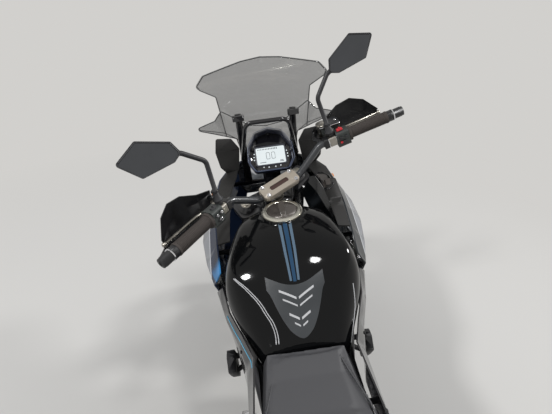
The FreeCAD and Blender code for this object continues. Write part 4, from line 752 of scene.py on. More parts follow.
class Surface:
    """A CAD node's surface, read in the local millimetres of its body."""

    def __init__(self, node: Node, frame: Matrix) -> None:
        """Reads the node's mesh."""
        back = frame.inverted()
        corners = [(back @ vert.co) / MM for vert in node.data.vertices]
        self.tree = BVHTree.FromPolygons(corners, [tuple(p.vertices) for p in node.data.polygons])

    def cast(self, start: Vector, way: Vector) -> tuple[Vector, Vector] | None:
        """Gives the first point met along a way, and the normal there, or nothing."""
        at, normal, _, _ = self.tree.ray_cast(start, way)
        return None if at is None else (at, normal if normal.dot(way) < 0 else -normal)

    def down(self, x: float, y: float, above: float = 1300.0) -> tuple[Vector, Vector]:
        """Gives the point straight below a place, and its normal."""
        found = self.cast(Vector((x, y, above)), DOWN)
        return found if found is not None else self.near(Vector((x, y, above - 300.0)))

    def spots(self, starts: Iterable[Vector], facing: Vector, ahead: Vector = AHEAD) -> list[Spot]:
        """Gives the spots that rays from these starts meet, against the way that the spots face."""
        found = [self.cast(start, -facing) for start in starts]
        return [Spot(hit[0], facing, ahead) for hit in found if hit is not None]

    def near(self, point: Vector) -> tuple[Vector, Vector]:
        """Gives the surface's nearest point, and its normal turned away from the machine's middle."""
        at, normal, _, _ = self.tree.find_nearest(point)
        outward = Vector((0.0, at.y, 0.5 * abs(at.y) + 1.0))
        return at, normal if normal.dot(outward) > 0 else -normal


class Form:
    """A mesh under construction, in the local millimetres of the body that it will ride on."""

    def __init__(self, name: str, body: str, frame: Matrix) -> None:
        """Starts an empty mesh."""
        self.name = name
        self.body = body
        self.frame = frame
        self.bm = bmesh.new()

    def rings(self, loops: Sequence[Sequence[Vector]], caps: bool = True, wrap: bool = False) -> None:
        """Joins closed loops of as many points each into a skin.

        Args:
            loops: The loops, in order.
            caps: Whether the first and last are filled.
            wrap: Whether the last joins the first.
        """
        made = [[self.bm.verts.new(p) for p in loop] for loop in loops]
        pairs = list(zip(made, made[1:])) + ([(made[-1], made[0])] if wrap else [])
        for a, b in pairs:
            for i in range(len(a)):
                j = (i + 1) % len(a)
                self.bm.faces.new((a[i], a[j], b[j], b[i]))
        if caps and not wrap:
            self.bm.faces.new(made[0][::-1])
            self.bm.faces.new(made[-1])

    def tube(self, points: Sequence[Vector], radius: float | Sequence[float], sides: int = 10,
             closed: bool = False) -> None:
        """Runs a round bar along a line.

        Args:
            points: The line.
            radius: Its radius, or one radius for each point.
            sides: Edges round it.
            closed: Whether it is a ring.
        """
        count = len(points)
        radii = [radius] * count if isinstance(radius, (int, float)) else list(radius)
        loops, normal = [], None
        for i, here in enumerate(points):
            ahead = points[(i + 1) % count] if closed or i + 1 < count else here
            behind = points[i - 1] if closed or i > 0 else here
            along = (ahead - behind).normalized()
            if normal is None:
                normal = along.orthogonal().normalized()
            normal = (normal - along * normal.dot(along)).normalized()
            other = along.cross(normal)
            loops.append([here + (normal * math.cos(a) + other * math.sin(a)) * radii[i]
                          for a in (2 * math.pi * k / sides for k in range(sides))])
        self.rings(loops, caps=not closed, wrap=closed)

    def lathe(self, base: Vector, axis: Vector, profile: Sequence[Pair], steps: int = 32,
              corners: int = 0) -> None:
        """Turns an outline of (radius, height) pairs about an axis.

        Args:
            base: Where height is 0.
            axis: The way that height grows.
            profile: The outline, from one end to the other; the ends are filled.
            steps: Edges round it.
            corners: With 6, a radius below 0 means that far across a hexagon's flats.
        """
        axis = axis.normalized()
        u = axis.orthogonal().normalized()
        v = axis.cross(u)
        loops = []
        for radius, height in profile:
            loop = []
            for k in range(steps):
                a = 2 * math.pi * k / steps
                r = radius
                if radius < 0:
                    wedge = math.pi / corners
                    r = -radius / math.cos((a + wedge) % (2 * wedge) - wedge)
                loop.append(base + axis * height + (u * math.cos(a) + v * math.sin(a)) * max(r, 0.02))
            loops.append(loop)
        self.rings(loops)

    def prism(self, outline: Sequence[Pair], origin: Vector, u: Vector, v: Vector, depth: Vector,
              taper: float = 1.0) -> None:
        """Pushes a flat outline through a depth.

        Args:
            outline: Its (u, v) pairs.
            origin: The local point of (0, 0).
            u: The way of the first number.
            v: The way of the second number.
            depth: The push.
            taper: The far end's size, as a share.
        """
        middle = Vector((sum(p[0] for p in outline), sum(p[1] for p in outline))) / len(outline)
        near = [origin + u * a + v * b for a, b in outline]
        far = [origin + depth + u * (middle.x + (a - middle.x) * taper)
               + v * (middle.y + (b - middle.y) * taper) for a, b in outline]
        self.rings([near, far])

    def slab(self, origin: Vector, u: Vector, v: Vector, size: Pair, depth: Vector, radius: float = 2.0,
             taper: float = 1.0) -> None:
        """Makes a block with rounded corners about a middle point, of a size along u and v."""
        a, b = size[0] / 2, size[1] / 2
        self.prism(rounded([(-a, -b), (a, -b), (a, b), (-a, b)], radius), origin, u, v, depth, taper)

    def patch(self, surface: Surface, left: Sequence[Pair], right: Sequence[Pair], lift: float = 0.5,
              rows: int = 24, columns: int = 6, sink: float = 1.0) -> None:
        """Lays a thin sheet on a surface, seen from above, between two edge lines of (x, y) pairs.

        Args:
            surface: What it lies on.
            left: One edge.
            right: The other edge.
            lift: How far it stands proud.
            rows: Points along it.
            columns: Points across it.
            sink: How far its underside lies in the surface.
        """
        a = resampled([Vector((x, y, 0)) for x, y in left], rows)
        b = resampled([Vector((x, y, 0)) for x, y in right], rows)
        top, low = [], []
        for p, q in zip(a, b):
            places = [p.lerp(q, k / (columns - 1)) for k in range(columns)]
            found = [surface.down(s.x, s.y) for s in places]
            top.append([self.bm.verts.new(at + normal * lift) for at, normal in found])
            low.append([self.bm.verts.new(at - normal * sink) for at, normal in found])
        for i in range(rows - 1):
            for j in range(columns - 1):
                self.bm.faces.new((top[i][j], top[i][j + 1], top[i + 1][j + 1], top[i + 1][j]))
                self.bm.faces.new((low[i][j], low[i + 1][j], low[i + 1][j + 1], low[i][j + 1]))
        rim = ([(i, 0) for i in range(rows)] + [(rows - 1, j) for j in range(1, columns)]
               + [(i, columns - 1) for i in range(rows - 2, -1, -1)]
               + [(0, j) for j in range(columns - 2, 0, -1)])
        for (i, j), (k, m) in zip(rim, rim[1:] + rim[:1]):
            self.bm.faces.new((top[i][j], top[k][m], low[k][m], low[i][j]))

    def mesh(self, degrees: float = 32.0) -> bpy.types.Mesh:
        """Ends the form as a mesh in the parked frame."""
        bmesh.ops.recalc_face_normals(self.bm, faces=self.bm.faces)
        bmesh.ops.transform(self.bm, matrix=self.frame @ Matrix.Scale(MM, 4), verts=self.bm.verts)
        mesh = bpy.data.meshes.new(self.name)
        self.bm.to_mesh(mesh)
        self.bm.free()
        smooth_by_angle(mesh, degrees)
        return mesh


@dataclass(frozen=True)
class Spot:
    """Where a repeated piece goes, in local millimetres, with the ways of its own Z and X."""

    at: Vector
    facing: Vector
    ahead: Vector = field(default_factory=lambda: AHEAD)


class Repeats:
    """Geometry Nodes that set a template on every spot, and realize and dress what they set."""

    def __init__(self) -> None:
        """Builds the tree."""
        self.tree = bpy.data.node_groups.new("repeats", "GeometryNodeTree")
        self.sockets = {}
        for name, kind in (("Spots", "Geometry"), ("Template", "Object"), ("Size", "Float"),
                           ("Wobble", "Float"), ("Seed", "Int"), ("Finish", "Material")):
            made = self.tree.interface.new_socket(name, in_out="INPUT", socket_type="NodeSocket" + kind)
            self.sockets[name] = made.identifier
        self.tree.interface.new_socket("Result", in_out="OUTPUT", socket_type="NodeSocketGeometry")
        given = self.node("NodeGroupInput")
        template = self.node("GeometryNodeObjectInfo", {"transform_space": "ORIGINAL"},
                             {"Object": given.outputs["Template"], "As Instance": True})
        facing, ahead = (self.node("GeometryNodeInputNamedAttribute", {"data_type": "FLOAT_VECTOR"},
                                   {"Name": name}) for name in ("facing", "ahead"))
        up = self.node("FunctionNodeAlignRotationToVector", {"axis": "Z"},
                       {"Vector": facing.outputs["Attribute"]})
        set_ahead = self.node("FunctionNodeAlignRotationToVector", {"axis": "X", "pivot_axis": "Z"},
                              {"Rotation": up.outputs[0], "Vector": ahead.outputs["Attribute"]})
        chance = self.node("FunctionNodeRandomValue", {"data_type": "FLOAT"}, {"Seed": given.outputs["Seed"]})
        self.tree.links.new(given.outputs["Wobble"], chance.inputs[3])
        spin = self.node("FunctionNodeAxisAngleToRotation", None,
                         {"Axis": (0.0, 0.0, 1.0), "Angle": chance.outputs[1]})
        turned = self.node("FunctionNodeRotateRotation", {"rotation_space": "LOCAL"},
                           {"Rotation": set_ahead.outputs[0], "Rotate By": spin.outputs[0]})
        copies = self.node("GeometryNodeInstanceOnPoints", None, {
            "Points": given.outputs["Spots"], "Instance": template.outputs["Geometry"],
            "Rotation": turned.outputs[0], "Scale": given.outputs["Size"]})
        real = self.node("GeometryNodeRealizeInstances", None, {"Geometry": copies.outputs[0]})
        dressed = self.node("GeometryNodeSetMaterial", None,
                            {"Geometry": real.outputs[0], "Material": given.outputs["Finish"]})
        out = self.node("NodeGroupOutput")
        self.tree.links.new(dressed.outputs[0], out.inputs[0])

    def node(self, kind: str, settings: dict | None = None, inputs: dict | None = None) -> bpy.types.Node:
        """Adds a node with its settings, and sets or links its inputs."""
        made = self.tree.nodes.new(kind)
        for key, value in (settings or {}).items():
            setattr(made, key, value)
        for key, value in (inputs or {}).items():
            if isinstance(value, bpy.types.NodeSocket):
                self.tree.links.new(value, made.inputs[key])
            else:
                made.inputs[key].default_value = value
        return made

    def lay(self, name: str, frame: Matrix, template: bpy.types.Mesh, spots: Sequence[Spot],
            material: bpy.types.Material, size: float = 1.0, wobble: float = 0.0, seed: int = 1) -> Node:
        """Makes one plain mesh of copies.

        Args:
            name: The piece's name.
            frame: The local frame of the spots.
            template: What is copied, about its own origin, in metres.
            spots: Where the copies go.
            material: Their material.
            size: Their scale.
            wobble: The widest random turn about their own Z, in radians.
            seed: The turn's seed.

        Returns:
            The new object.
        """
        points = bpy.data.meshes.new(name + "_spots")
        points.from_pydata([frame @ (spot.at * MM) for spot in spots], [], [])
        turn = frame.to_3x3()
        for key in ("facing", "ahead"):
            layer = points.attributes.new(key, "FLOAT_VECTOR", "POINT")
            for row, spot in zip(layer.data, spots):
                row.vector = turn @ getattr(spot, key)
        pattern = linked(name + "_template", template)
        carrier = linked(name + "_carrier", points)
        modifier = carrier.modifiers.new("repeats", "NODES")
        modifier.node_group = self.tree
        for key, value in (("Template", pattern), ("Size", size), ("Wobble", wobble), ("Seed", seed),
                           ("Finish", material)):
            modifier[self.sockets[key]] = value
        mesh = evaluated(carrier)
        mesh.name = name
        for spent in (carrier, pattern):
            bpy.data.objects.remove(spent)
        return linked(name, mesh)


@dataclass
class Workshop:
    """What every assembly builds with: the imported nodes, the rig and the repeats."""

    nodes: dict[str, Node]
    bodies: dict[str, str]
    rig: Rig
    repeats: Repeats

    def form(self, name: str, body: str = "chassis") -> Form:
        """Starts a form on a body."""
        return Form(name, body, self.rig.of(body))

    def template(self, name: str) -> Form:
        """Starts a form about its own origin, to be repeated."""
        return Form(name, "", Matrix.Identity(4))

    def surface(self, node: str) -> Surface:
        """Reads a CAD node's surface."""
        return Surface(self.nodes[node], self.rig.of(self.bodies[node]))

    def ride(self, piece: Node, body: str, finish: Finish, slot: str | None = None,
             replaces: Sequence[str] = ()) -> Node:
        """Dresses a piece, sets it on its body, and hides the nodes that it stands for."""
        dress(piece, finish.material(self.rig))
        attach(piece, body)
        if replaces:
            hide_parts(*replaces)
        LOG.info("%s: %d faces", piece.name, len(piece.data.polygons))
        return piece

    def add(self, form: Form, finish: Finish, degrees: float = 32.0, edge: float = 0.0,
            replaces: Sequence[str] = ()) -> Node:
        """Ends a form as a piece.

        Args:
            form: The form.
            finish: Its finish.
            degrees: The turn above which an edge stays sharp.
            edge: The width of a bevel on its sharp edges, in millimetres.
            replaces: The nodes that it stands for.

        Returns:
            The new piece.
        """
        piece = linked(form.name, form.mesh(degrees))
        if edge > 0:
            bevel = piece.modifiers.new("edge", "BEVEL")
            bevel.width, bevel.segments = edge * MM, 2
            bevel.limit_method, bevel.angle_limit = "ANGLE", math.radians(degrees)
        return self.ride(piece, form.body, finish, None, replaces)

    def scatter(self, name: str, template: Form, spots: Sequence[Spot], finish: Finish, body: str = "chassis",
                size: float = 1.0, wobble: float = 0.0, seed: int = 1, replaces: Sequence[str] = ()) -> Node:
        """Repeats a template on a body's spots, as one piece."""
        piece = self.repeats.lay(name, self.rig.of(body), template.mesh(), spots, finish.material(self.rig),
                                 size, wobble, seed)
        return self.ride(piece, body, finish, None, replaces)


def socket_bolt(shop: Workshop, radius: float = 5.0, height: float = 5.0) -> Form:
    """Draws a socket-head bolt, with its underside a little below its origin."""
    form = shop.template("bolt")
    form.lathe(Vector(), UP,
               [(radius, -1.0), (radius, height - 0.7), (radius - 0.7, height), (radius * 0.66, height),
                (-radius * 0.52, height - 0.5), (-radius * 0.5, height * 0.35)], 24, 6)
    return form


def hexagon_bolt(shop: Workshop, radius: float = 7.0, height: float = 5.0) -> Form:
    """Draws a flanged hexagon bolt."""
    form = shop.template("hexagon")
    form.lathe(Vector(), UP,
               [(radius * 1.25, -1.0), (radius * 1.25, 0.6), (radius, 1.4), (-radius * 0.84, 1.6),
                (-radius * 0.84, height - 0.5), (radius * 0.78, height), (0.0, height)], 24, 6)
    return form


def button_screw(shop: Workshop, radius: float = 4.5) -> Form:
    """Draws a low round-headed trim screw."""
    form = shop.template("screw")
    form.lathe(Vector(), UP,
               [(radius, -1.0), (radius, 0.4), (radius * 0.85, 1.5), (radius * 0.55, 2.1),
                (-radius * 0.4, 2.1), (-radius * 0.4, 0.6)], 18, 6)
    return form


# Instruments

@dataclass
class Cluster:
    """The instrument housing's face: a lit panel, warning lamps, edge lines of painted highlight and screws.
    """

    shop: Workshop
    centre: Vector = field(default_factory=lambda: Vector((1204.0, 0.0, 1080.0)))
    tilt: float = math.radians(47.0)
    panel: Pair = (102.5, 63.5)
    outline: Pairs = ((-60, -58), (60, -58), (82, -22), (78, 34), (48, 84), (0, 98), (-48, 84),
                      (-78, 34), (-82, -22))
    lamps: Pairs = ((-58, 12), (-60, 1), (-60, -10), (58, 12), (60, 1), (60, -10), (-30, -40),
                    (-12, -42), (12, -42), (30, -40))
    screws: Pairs = ((-50, -48), (50, -48), (-62, 30), (62, 30), (0, 82))
    bars: int = 13
    bar_pitch: float = 5.6
    # sides, back, front and corner radius of the display's frame
    frame_loops: Rows = ((56, -36, 38, 10), (51, -31, 32, 5))
    dashes: Triples = ((-37, -25, 15), (-37, -21, 11), (30, -23, 22))
    digits: Pair = (10, -9)

    def at(self, across: float, ahead: float, height: float = 0.0) -> Vector:
        """Gives a local point on the face."""
        return (self.centre + Vector((math.cos(self.tilt), 0, math.sin(self.tilt))) * ahead
                + LEFT * across + self.normal * height)

    @property
    def normal(self) -> Vector:
        """The way that the face looks."""
        return Vector((-math.sin(self.tilt), 0, math.cos(self.tilt)))

    def build(self) -> None:
        """Builds the face."""
        shop, ahead = self.shop, self.at(0, 1) - self.at(0, 0)
        # painted highlight: blue-grey tubes along the housing's edges, a lit copy of its navy plastic
        frame = shop.form("cluster_frame")
        for share, height, radius in ((0.93, 0.4, 1.5), (1.0, 20.2, 1.1)):
            line = [self.at(x * share, y * share, height) for x, y in rounded(self.outline, 12)]
            frame.tube(line, radius, 6, closed=True)
        shop.add(frame, Finish.BEVEL, 60)
        surround = shop.form("cluster_surround")
        outer, inner = (rounded([(-side, back), (side, back), (side, front), (-side, front)], radius)
                        for side, back, front, radius in self.frame_loops)
        surround.rings([[self.at(x, y, height) for x, y in loop] for loop, height in
                        ((outer, -1.5), (outer, 2.6), (inner, 2.0), (inner, -1.5))], wrap=True)
        shop.add(surround, Finish.NAVY, edge=0.5)
        panel = shop.form("cluster_panel")
        panel.slab(self.at(0, 0.5, -1.4), LEFT, ahead, self.panel, self.normal * 2.2, 4)
        shop.add(panel, Finish.DISPLAY)
        self.marks(ahead)
        lit = shop.template("tell_tale")
        lit.lathe(Vector((0, 0, -1)), UP, [(2.1, 0), (2.1, 1.5), (1.6, 2.1), (0, 2.3)], 14)
        lamps, screws = ([Spot(self.at(x, y), self.normal, LEFT) for x, y in places]
                         for places in (self.lamps, self.screws))
        shop.scatter("cluster_tell_tales", lit, lamps, Finish.DISPLAY)
        shop.scatter("cluster_screws", button_screw(shop, 3.4), screws, Finish.MOULDED, wobble=1.0, seed=4)

    def marks(self, ahead: Vector) -> None:
        """Builds the display's rising bars, its dashes and two blank digits."""
        marks = self.shop.form("cluster_marks")
        thick = self.normal * 0.5
        for k in range(self.bars):
            place = self.at(44 - self.bar_pitch * k, 25.5, 0.6)
            marks.slab(place, LEFT, ahead, (3.2, 2.4 + 0.35 * k), thick, 0.5)
        for x, y, wide in self.dashes:
            marks.slab(self.at(x, y, 0.6), LEFT, ahead, (wide, 2.2), thick, 0.6)
        for x in self.digits:
            loop = rounded([(x - 6, -12), (x + 6, -12), (x + 6, 12), (x - 6, 12)], 3)
            marks.tube([self.at(u, v, 0.8) for u, v in loop], 0.9, 4, closed=True)
        self.shop.add(marks, Finish.MARK)


@dataclass
class Screen:
    """The screen's dark edge and the lower sheet's creases."""

    shop: Workshop
    base: Pair = (1338.0, 1070.0)
    top: Pair = (1196.0, 1430.0)
    upper: Pairs = ((0, 1408), (60, 1402), (182, 1375), (213, 1341), (157, 1301), (154, 1244),
                    (150, 1150))
    lower: Pairs = ((0, 1160), (60, 1170), (152, 1246), (178, 1216), (236, 1204), (232, 1190),
                    (116, 1126), (104, 1052))
    crease: Pairs = ((232, 1196), (150, 1160), (96, 1108))
    inset: float = 0.985
    upper_drop: float = 2.0

    def line(self, surface: Surface, corners: Sequence[Pair], lift: float = 0.2) -> list[Vector]:
        """Lays a line of (side, height) pairs on the back of the sheet."""
        points = []
        for y, z in corners:
            share = (z - self.base[1]) / (self.top[1] - self.base[1])
            middle = self.base[0] + (self.top[0] - self.base[0]) * share
            found = surface.cast(Vector((middle - 260.0, y, z)), AHEAD)
            if found is not None and abs(found[0].x - middle) < 150:
                points.append(found[0] + found[1] * lift)
        return points

    def build(self) -> None:
        """Builds the screen's trim."""
        surface = self.shop.surface("windscreen")
        edge = self.shop.form("screen_edge")
        for corners, drop in ((self.upper, self.upper_drop), (self.lower, 0.0)):
            half = resampled([Vector((y * self.inset, z - drop, 0)) for y, z in corners], 60)
            pairs = [(p.x, p.y) for p in half]
            whole = [(-y, z) for y, z in reversed(pairs)] + pairs[1:]
            edge.tube(self.line(surface, whole), 1.7, 6)
        for side in (-1, 1):
            crease = resampled([Vector((side * y, z, 0)) for y, z in self.crease], 20)
            edge.tube(self.line(surface, [(p.x, p.y) for p in crease]), 1.3, 6)
        self.shop.add(edge, Finish.SHEET_EDGE, 60)


# The steered head

@dataclass
class Head:
    """Bolts and caps of the bar clamp, the yokes and the fork tubes."""

    shop: Workshop
    bolt_rows: Pair = (-18.0, 18.0)
    clamp_ahead: float = -14.0
    clamp_side: float = 52.0
    fork_offset: float = 28.9
    fork_side: float = 105.0
    cap_height: float = 1114.2
    cap: Pairs = ((17.5, 0), (17.5, 3), (16.0, 4.2), (-11.5, 4.4), (-11.5, 9.5), (9.0, 10.4),
                  (6.0, 10.4), (5.6, 8.0), (0, 7.8))
    nut_height: float = 1096.0
    nut: Pairs = ((21, 0), (21, 4), (-17, 4.5), (-17, 13), (14, 14), (9, 14), (8.5, 6), (0, 6))
    pinch_heights: Pair = (1078.0, 1096.0)

    def build(self) -> None:
        """Builds the head's hardware."""
        shop, rig = self.shop, self.shop.rig
        up = rig.head(0, 0, 2) - rig.head(0, 0, 1)
        ahead = rig.head(2, 0, 1100) - rig.head(1, 0, 1100)
        starts = [rig.head(row + self.clamp_ahead, side, 1250) for side in (-self.clamp_side, self.clamp_side)
                  for row in self.bolt_rows]
        spots = shop.surface("bar_clamp").spots(starts, up, ahead)
        shop.scatter("clamp_bolts", socket_bolt(shop, 6.6, 4.6), spots, Finish.CHROME, "steering", wobble=1.0,
                     seed=7)
        # painted shade: a dark slab fills the clamp's slot in place of the shade inside it
        slot = shop.form("clamp_slot", "steering")
        slot.slab(spots[0].at - up * 5.0 + rig.head(self.clamp_ahead, 0, 1000)
                  - rig.head(self.bolt_rows[0] + self.clamp_ahead, -self.clamp_side, 1000),
                  LEFT, ahead, (69.0, 17.0), up * 1.4, 6.0)
        shop.add(slot, Finish.SLOT_SHADE)
        caps = shop.form("fork_caps", "steering")
        for side in (-self.fork_side, self.fork_side):
            caps.lathe(rig.head(self.fork_offset, side, self.cap_height), up, self.cap, 30, 6)
        shop.add(caps, Finish.ALUMINIUM)
        nut = shop.form("stem_nut", "steering")
        nut.lathe(rig.head(0, 0, self.nut_height), up, self.nut, 30, 6)
        shop.add(nut, Finish.ALUMINIUM)
        yokes, pinch = shop.surface("yokes"), []
        for side in (-1, 1):
            way = Vector((0, side, 0))
            starts = [rig.head(self.clamp_ahead, side * 137.0, z) + way * 40 for z in self.pinch_heights]
            pinch += yokes.spots(starts, way, up)
        shop.scatter("pinch_bolts", socket_bolt(shop, 5.5, 5.0), pinch, Finish.STEEL, "steering")


# Hand controls

@dataclass
class Controls:
    """Grips, switches, levers' collars, the reservoir's box and the bar's ends."""

    shop: Workshop
    grip_in: Vector = field(default_factory=lambda: Vector((954.0, 252.0, 1121.0)))
    grip_out: Vector = field(default_factory=lambda: Vector((893.0, 380.0, 1132.0)))
    ribs: int = 26
    rib: Pairs = ((16.4, 0), (17.9, 0.3), (18.2, 1.2), (17.9, 2.1), (16.4, 2.4))
    sleeve: Pairs = ((12, 0), (22.9, 0.1), (23.3, 2), (22.9, 4.2), (18.4, 5.2), (17.2, 8),
                     (17.0, 114), (18.6, 117), (18.6, 121.5), (12, 121.7))
    end_ring: Pairs = ((12, 0), (17.6, 0.4), (17.6, 3.6), (12, 4))
    end_screw: Pairs = ((-6.5, 0), (-6.5, 3.2), (5.4, 3.9), (0, 3.9))
    collar: Pairs = ((12, -1.6), (13.6, -1.4), (13.6, 1.4), (12, 1.6))
    # place along the bar, rise, width, height and depth of each rocker
    rockers: Rows = ((-28, 6, 10, 7, 4.5), (-12, 6, 9, 6, 4.5), (-20, -9, 17, 8, 5.5))
    mirror_boot: Pairs = ((14.0, 0), (15.2, 3), (13.0, 7), (12.2, 10), (9.6, 14), (9.2, 22),
                          (8.0, 24))
    box: Pair = (60.0, 46.0)
    box_height: float = 34.0
    lid: Pair = (65.0, 50.0)
    push_buttons: Triples = ((-30, 9, 4.8), (-13, 8, 4.2), (-21, -8, 5.4))
    adjuster: Pairs = ((9, 0), (9, 5), (7.8, 6), (7.8, 11), (5.5, 12), (5.0, 22), (3.6, 23))

    def bar(self, side: int, along: float, forward: float = 0.0, rise: float = 0.0) -> Vector:
        """Gives a point along the bar from the grip's inner end, on the left (1) or the right (-1)."""
        line = (self.grip_out - self.grip_in).normalized()
        ahead = Vector((-line.y, line.x, 0)).normalized() * -1
        lift = ahead.cross(line).normalized()
        lift = lift if lift.z > 0 else -lift
        point = self.grip_in + line * along + ahead * forward + lift * rise
        return point if side > 0 else mirrored([point])[0]

    def ways(self, side: int) -> tuple[Vector, Vector, Vector]:
        """Gives the ways along, ahead of and above the bar on one side."""
        origin = self.bar(side, 0)
        return self.bar(side, 1) - origin, self.bar(side, 0, 1) - origin, self.bar(side, 0, 0, 1) - origin

    def build(self) -> None:
        """Builds both hands' controls."""
        shop = self.shop
        length = (self.grip_out - self.grip_in).length
        sleeves = shop.form("grip_sleeves", "steering")
        metal = shop.form("control_collars", "steering")
        black = shop.form("control_plastics", "steering")
        spots = []
        for side in (1, -1):
            along, ahead, above = self.ways(side)
            sleeves.lathe(self.bar(side, 3.4), along, self.sleeve, 32)
            spots += [Spot(self.bar(side, 13 + 103 * k / (self.ribs - 1)), along, ahead)
                      for k in range(self.ribs)]
            metal.lathe(self.bar(side, length - 1.0), along, self.end_ring, 32)
            metal.lathe(self.bar(side, length + 26.3), along, self.end_screw, 24, 6)
            for place in (-41.5, -64.5):
                metal.lathe(self.bar(side, place), along, self.collar, 28)
            for place, rise, wide, tall, deep in self.rockers:
                black.slab(self.bar(side, place, -20.5, rise), along, above, (wide, tall), -ahead * deep,
                           2.0, 0.86)
            black.lathe(self.bar(side, -54, 0, 28.0), above, self.mirror_boot, 28)
            black.lathe(self.bar(side, -54, 0, 53.0), above, [(-9.5, 0), (-9.5, 7), (8.0, 8)], 24, 6)
        shop.add(sleeves, Finish.GRIP, 40)
        rib = shop.template("grip_rib")
        rib.lathe(Vector((0, 0, -1.2)), UP, self.rib, 28)
        shop.scatter("grip_ribs", rib, spots, Finish.GRIP, "steering")
        shop.add(metal, Finish.CHROME)
        shop.add(black, Finish.MOULDED, edge=0.6)
        self.right_hand()
        self.left_hand()

    def right_hand(self) -> None:
        """Builds the kill switch, the starter button and the brake fluid reservoir."""
        shop = self.shop
        along, ahead, above = self.ways(-1)
        red = shop.form("kill_switch", "steering")
        red.slab(self.bar(-1, -24, -6, 25.5), along, ahead, (20, 13), above * 5.5, 3, 0.85)
        red.slab(self.bar(-1, -24, -6, 31.0), along, ahead, (4.5, 11), above * 3.4, 1.5, 0.8)
        red.slab(self.bar(-1, -30, -22.5, -8), along, above, (8, 6), -ahead * 4.5, 2, 0.85)
        shop.add(red, Finish.RED_SWITCH, edge=0.7)
        base = self.bar(-1, -46, 46, 4)
        flat = Vector((ahead.x, ahead.y, 0)).normalized()
        across = UP.cross(flat)
        box = shop.form("reservoir_box", "steering")
        box.slab(base, across, flat, self.box, UP * self.box_height, 8, 1.04)
        shop.add(box, Finish.HOUSING, edge=0.8)
        lid = shop.form("reservoir_lid", "steering")
        lid.slab(base + UP * 34.2, across, flat, self.lid, UP * 5.0, 8, 0.97)
        shop.add(lid, Finish.MOULDED, edge=0.8)
        edge = shop.form("reservoir_edge", "steering")
        outer = rounded([(-33.4, -25.9), (33.4, -25.9), (33.4, 25.9), (-33.4, 25.9)], 8)
        edge.tube([base + UP * 35.0 + across * x + flat * y for x, y in outer], 1.3, 6, closed=True)
        edge.lathe(base - flat * 23.4 + UP * 16, -flat,
                   [(9.5, 0), (9.5, 2.2), (7.6, 2.6), (7.0, 1.4), (0, 1.4)], 28)
        shop.add(edge, Finish.CHROME, 60)
        spots = [Spot(base + UP * 39.0 + across * (side * 22), UP, flat) for side in (-1, 1)]
        shop.scatter("reservoir_screws", button_screw(shop, 4.2), spots, Finish.CHROME, "steering")

    def left_hand(self) -> None:
        """Builds the left switches and the clutch adjuster."""
        shop = self.shop
        along, ahead, above = self.ways(1)
        rings = shop.form("left_buttons", "steering")
        for place, rise, size in self.push_buttons:
            rings.lathe(self.bar(1, place, -24.5, rise), -ahead,
                        [(size, 0), (size, 1.6), (size - 1.0, 2.2), (size - 1.6, 1.4), (0, 1.4)], 24)
        rings.lathe(self.bar(1, -56, 34, 3), -along, self.adjuster, 28)
        shop.add(rings, Finish.CHROME)
        toggle = shop.form("left_toggle", "steering")
        toggle.slab(self.bar(1, -22, -8, 23.5), along, ahead, (22, 12), above * 4.8, 3, 0.85)
        toggle.slab(self.bar(1, -22, -8, 28.0), along, ahead, (5, 9), above * 4.0, 2, 0.75)
        shop.add(toggle, Finish.MOULDED, edge=0.6)


@dataclass
class Mirrors:
    """The rims of the mirrors' glass."""

    shop: Workshop

    @staticmethod
    def hull(cloud: Sequence[Vector]) -> list[Vector]:
        """Gives the points that bound a flat cloud as it is seen from behind."""
        ordered = sorted(cloud, key=lambda p: (round(p.y, 2), round(p.z, 2), p.x))
        sides: list[list[Vector]] = [[], []]
        for side, points in zip(sides, (ordered, ordered[::-1])):
            for p in points:
                while len(side) > 1 and ((side[-1].y - side[-2].y) * (p.z - side[-2].z)
                                         <= (side[-1].z - side[-2].z) * (p.y - side[-2].y) + 1e-6):
                    side.pop()
                side.append(p)
        return sides[0][:-1] + sides[1][:-1]

    def build(self) -> None:
        """Builds the rims round the glass."""
        shop = self.shop
        back = shop.rig.of("steering").inverted()
        corners = [(back @ vert.co) / MM for vert in shop.nodes["mirror_glass"].data.vertices]
        rim = shop.form("mirror_rims", "steering")
        for side in (-1, 1):
            rim.tube(self.hull([p for p in corners if p.y * side > 0]), 1.9, 6, closed=True)
        shop.add(rim, Finish.MOULDED, 60)


# Tank and seats

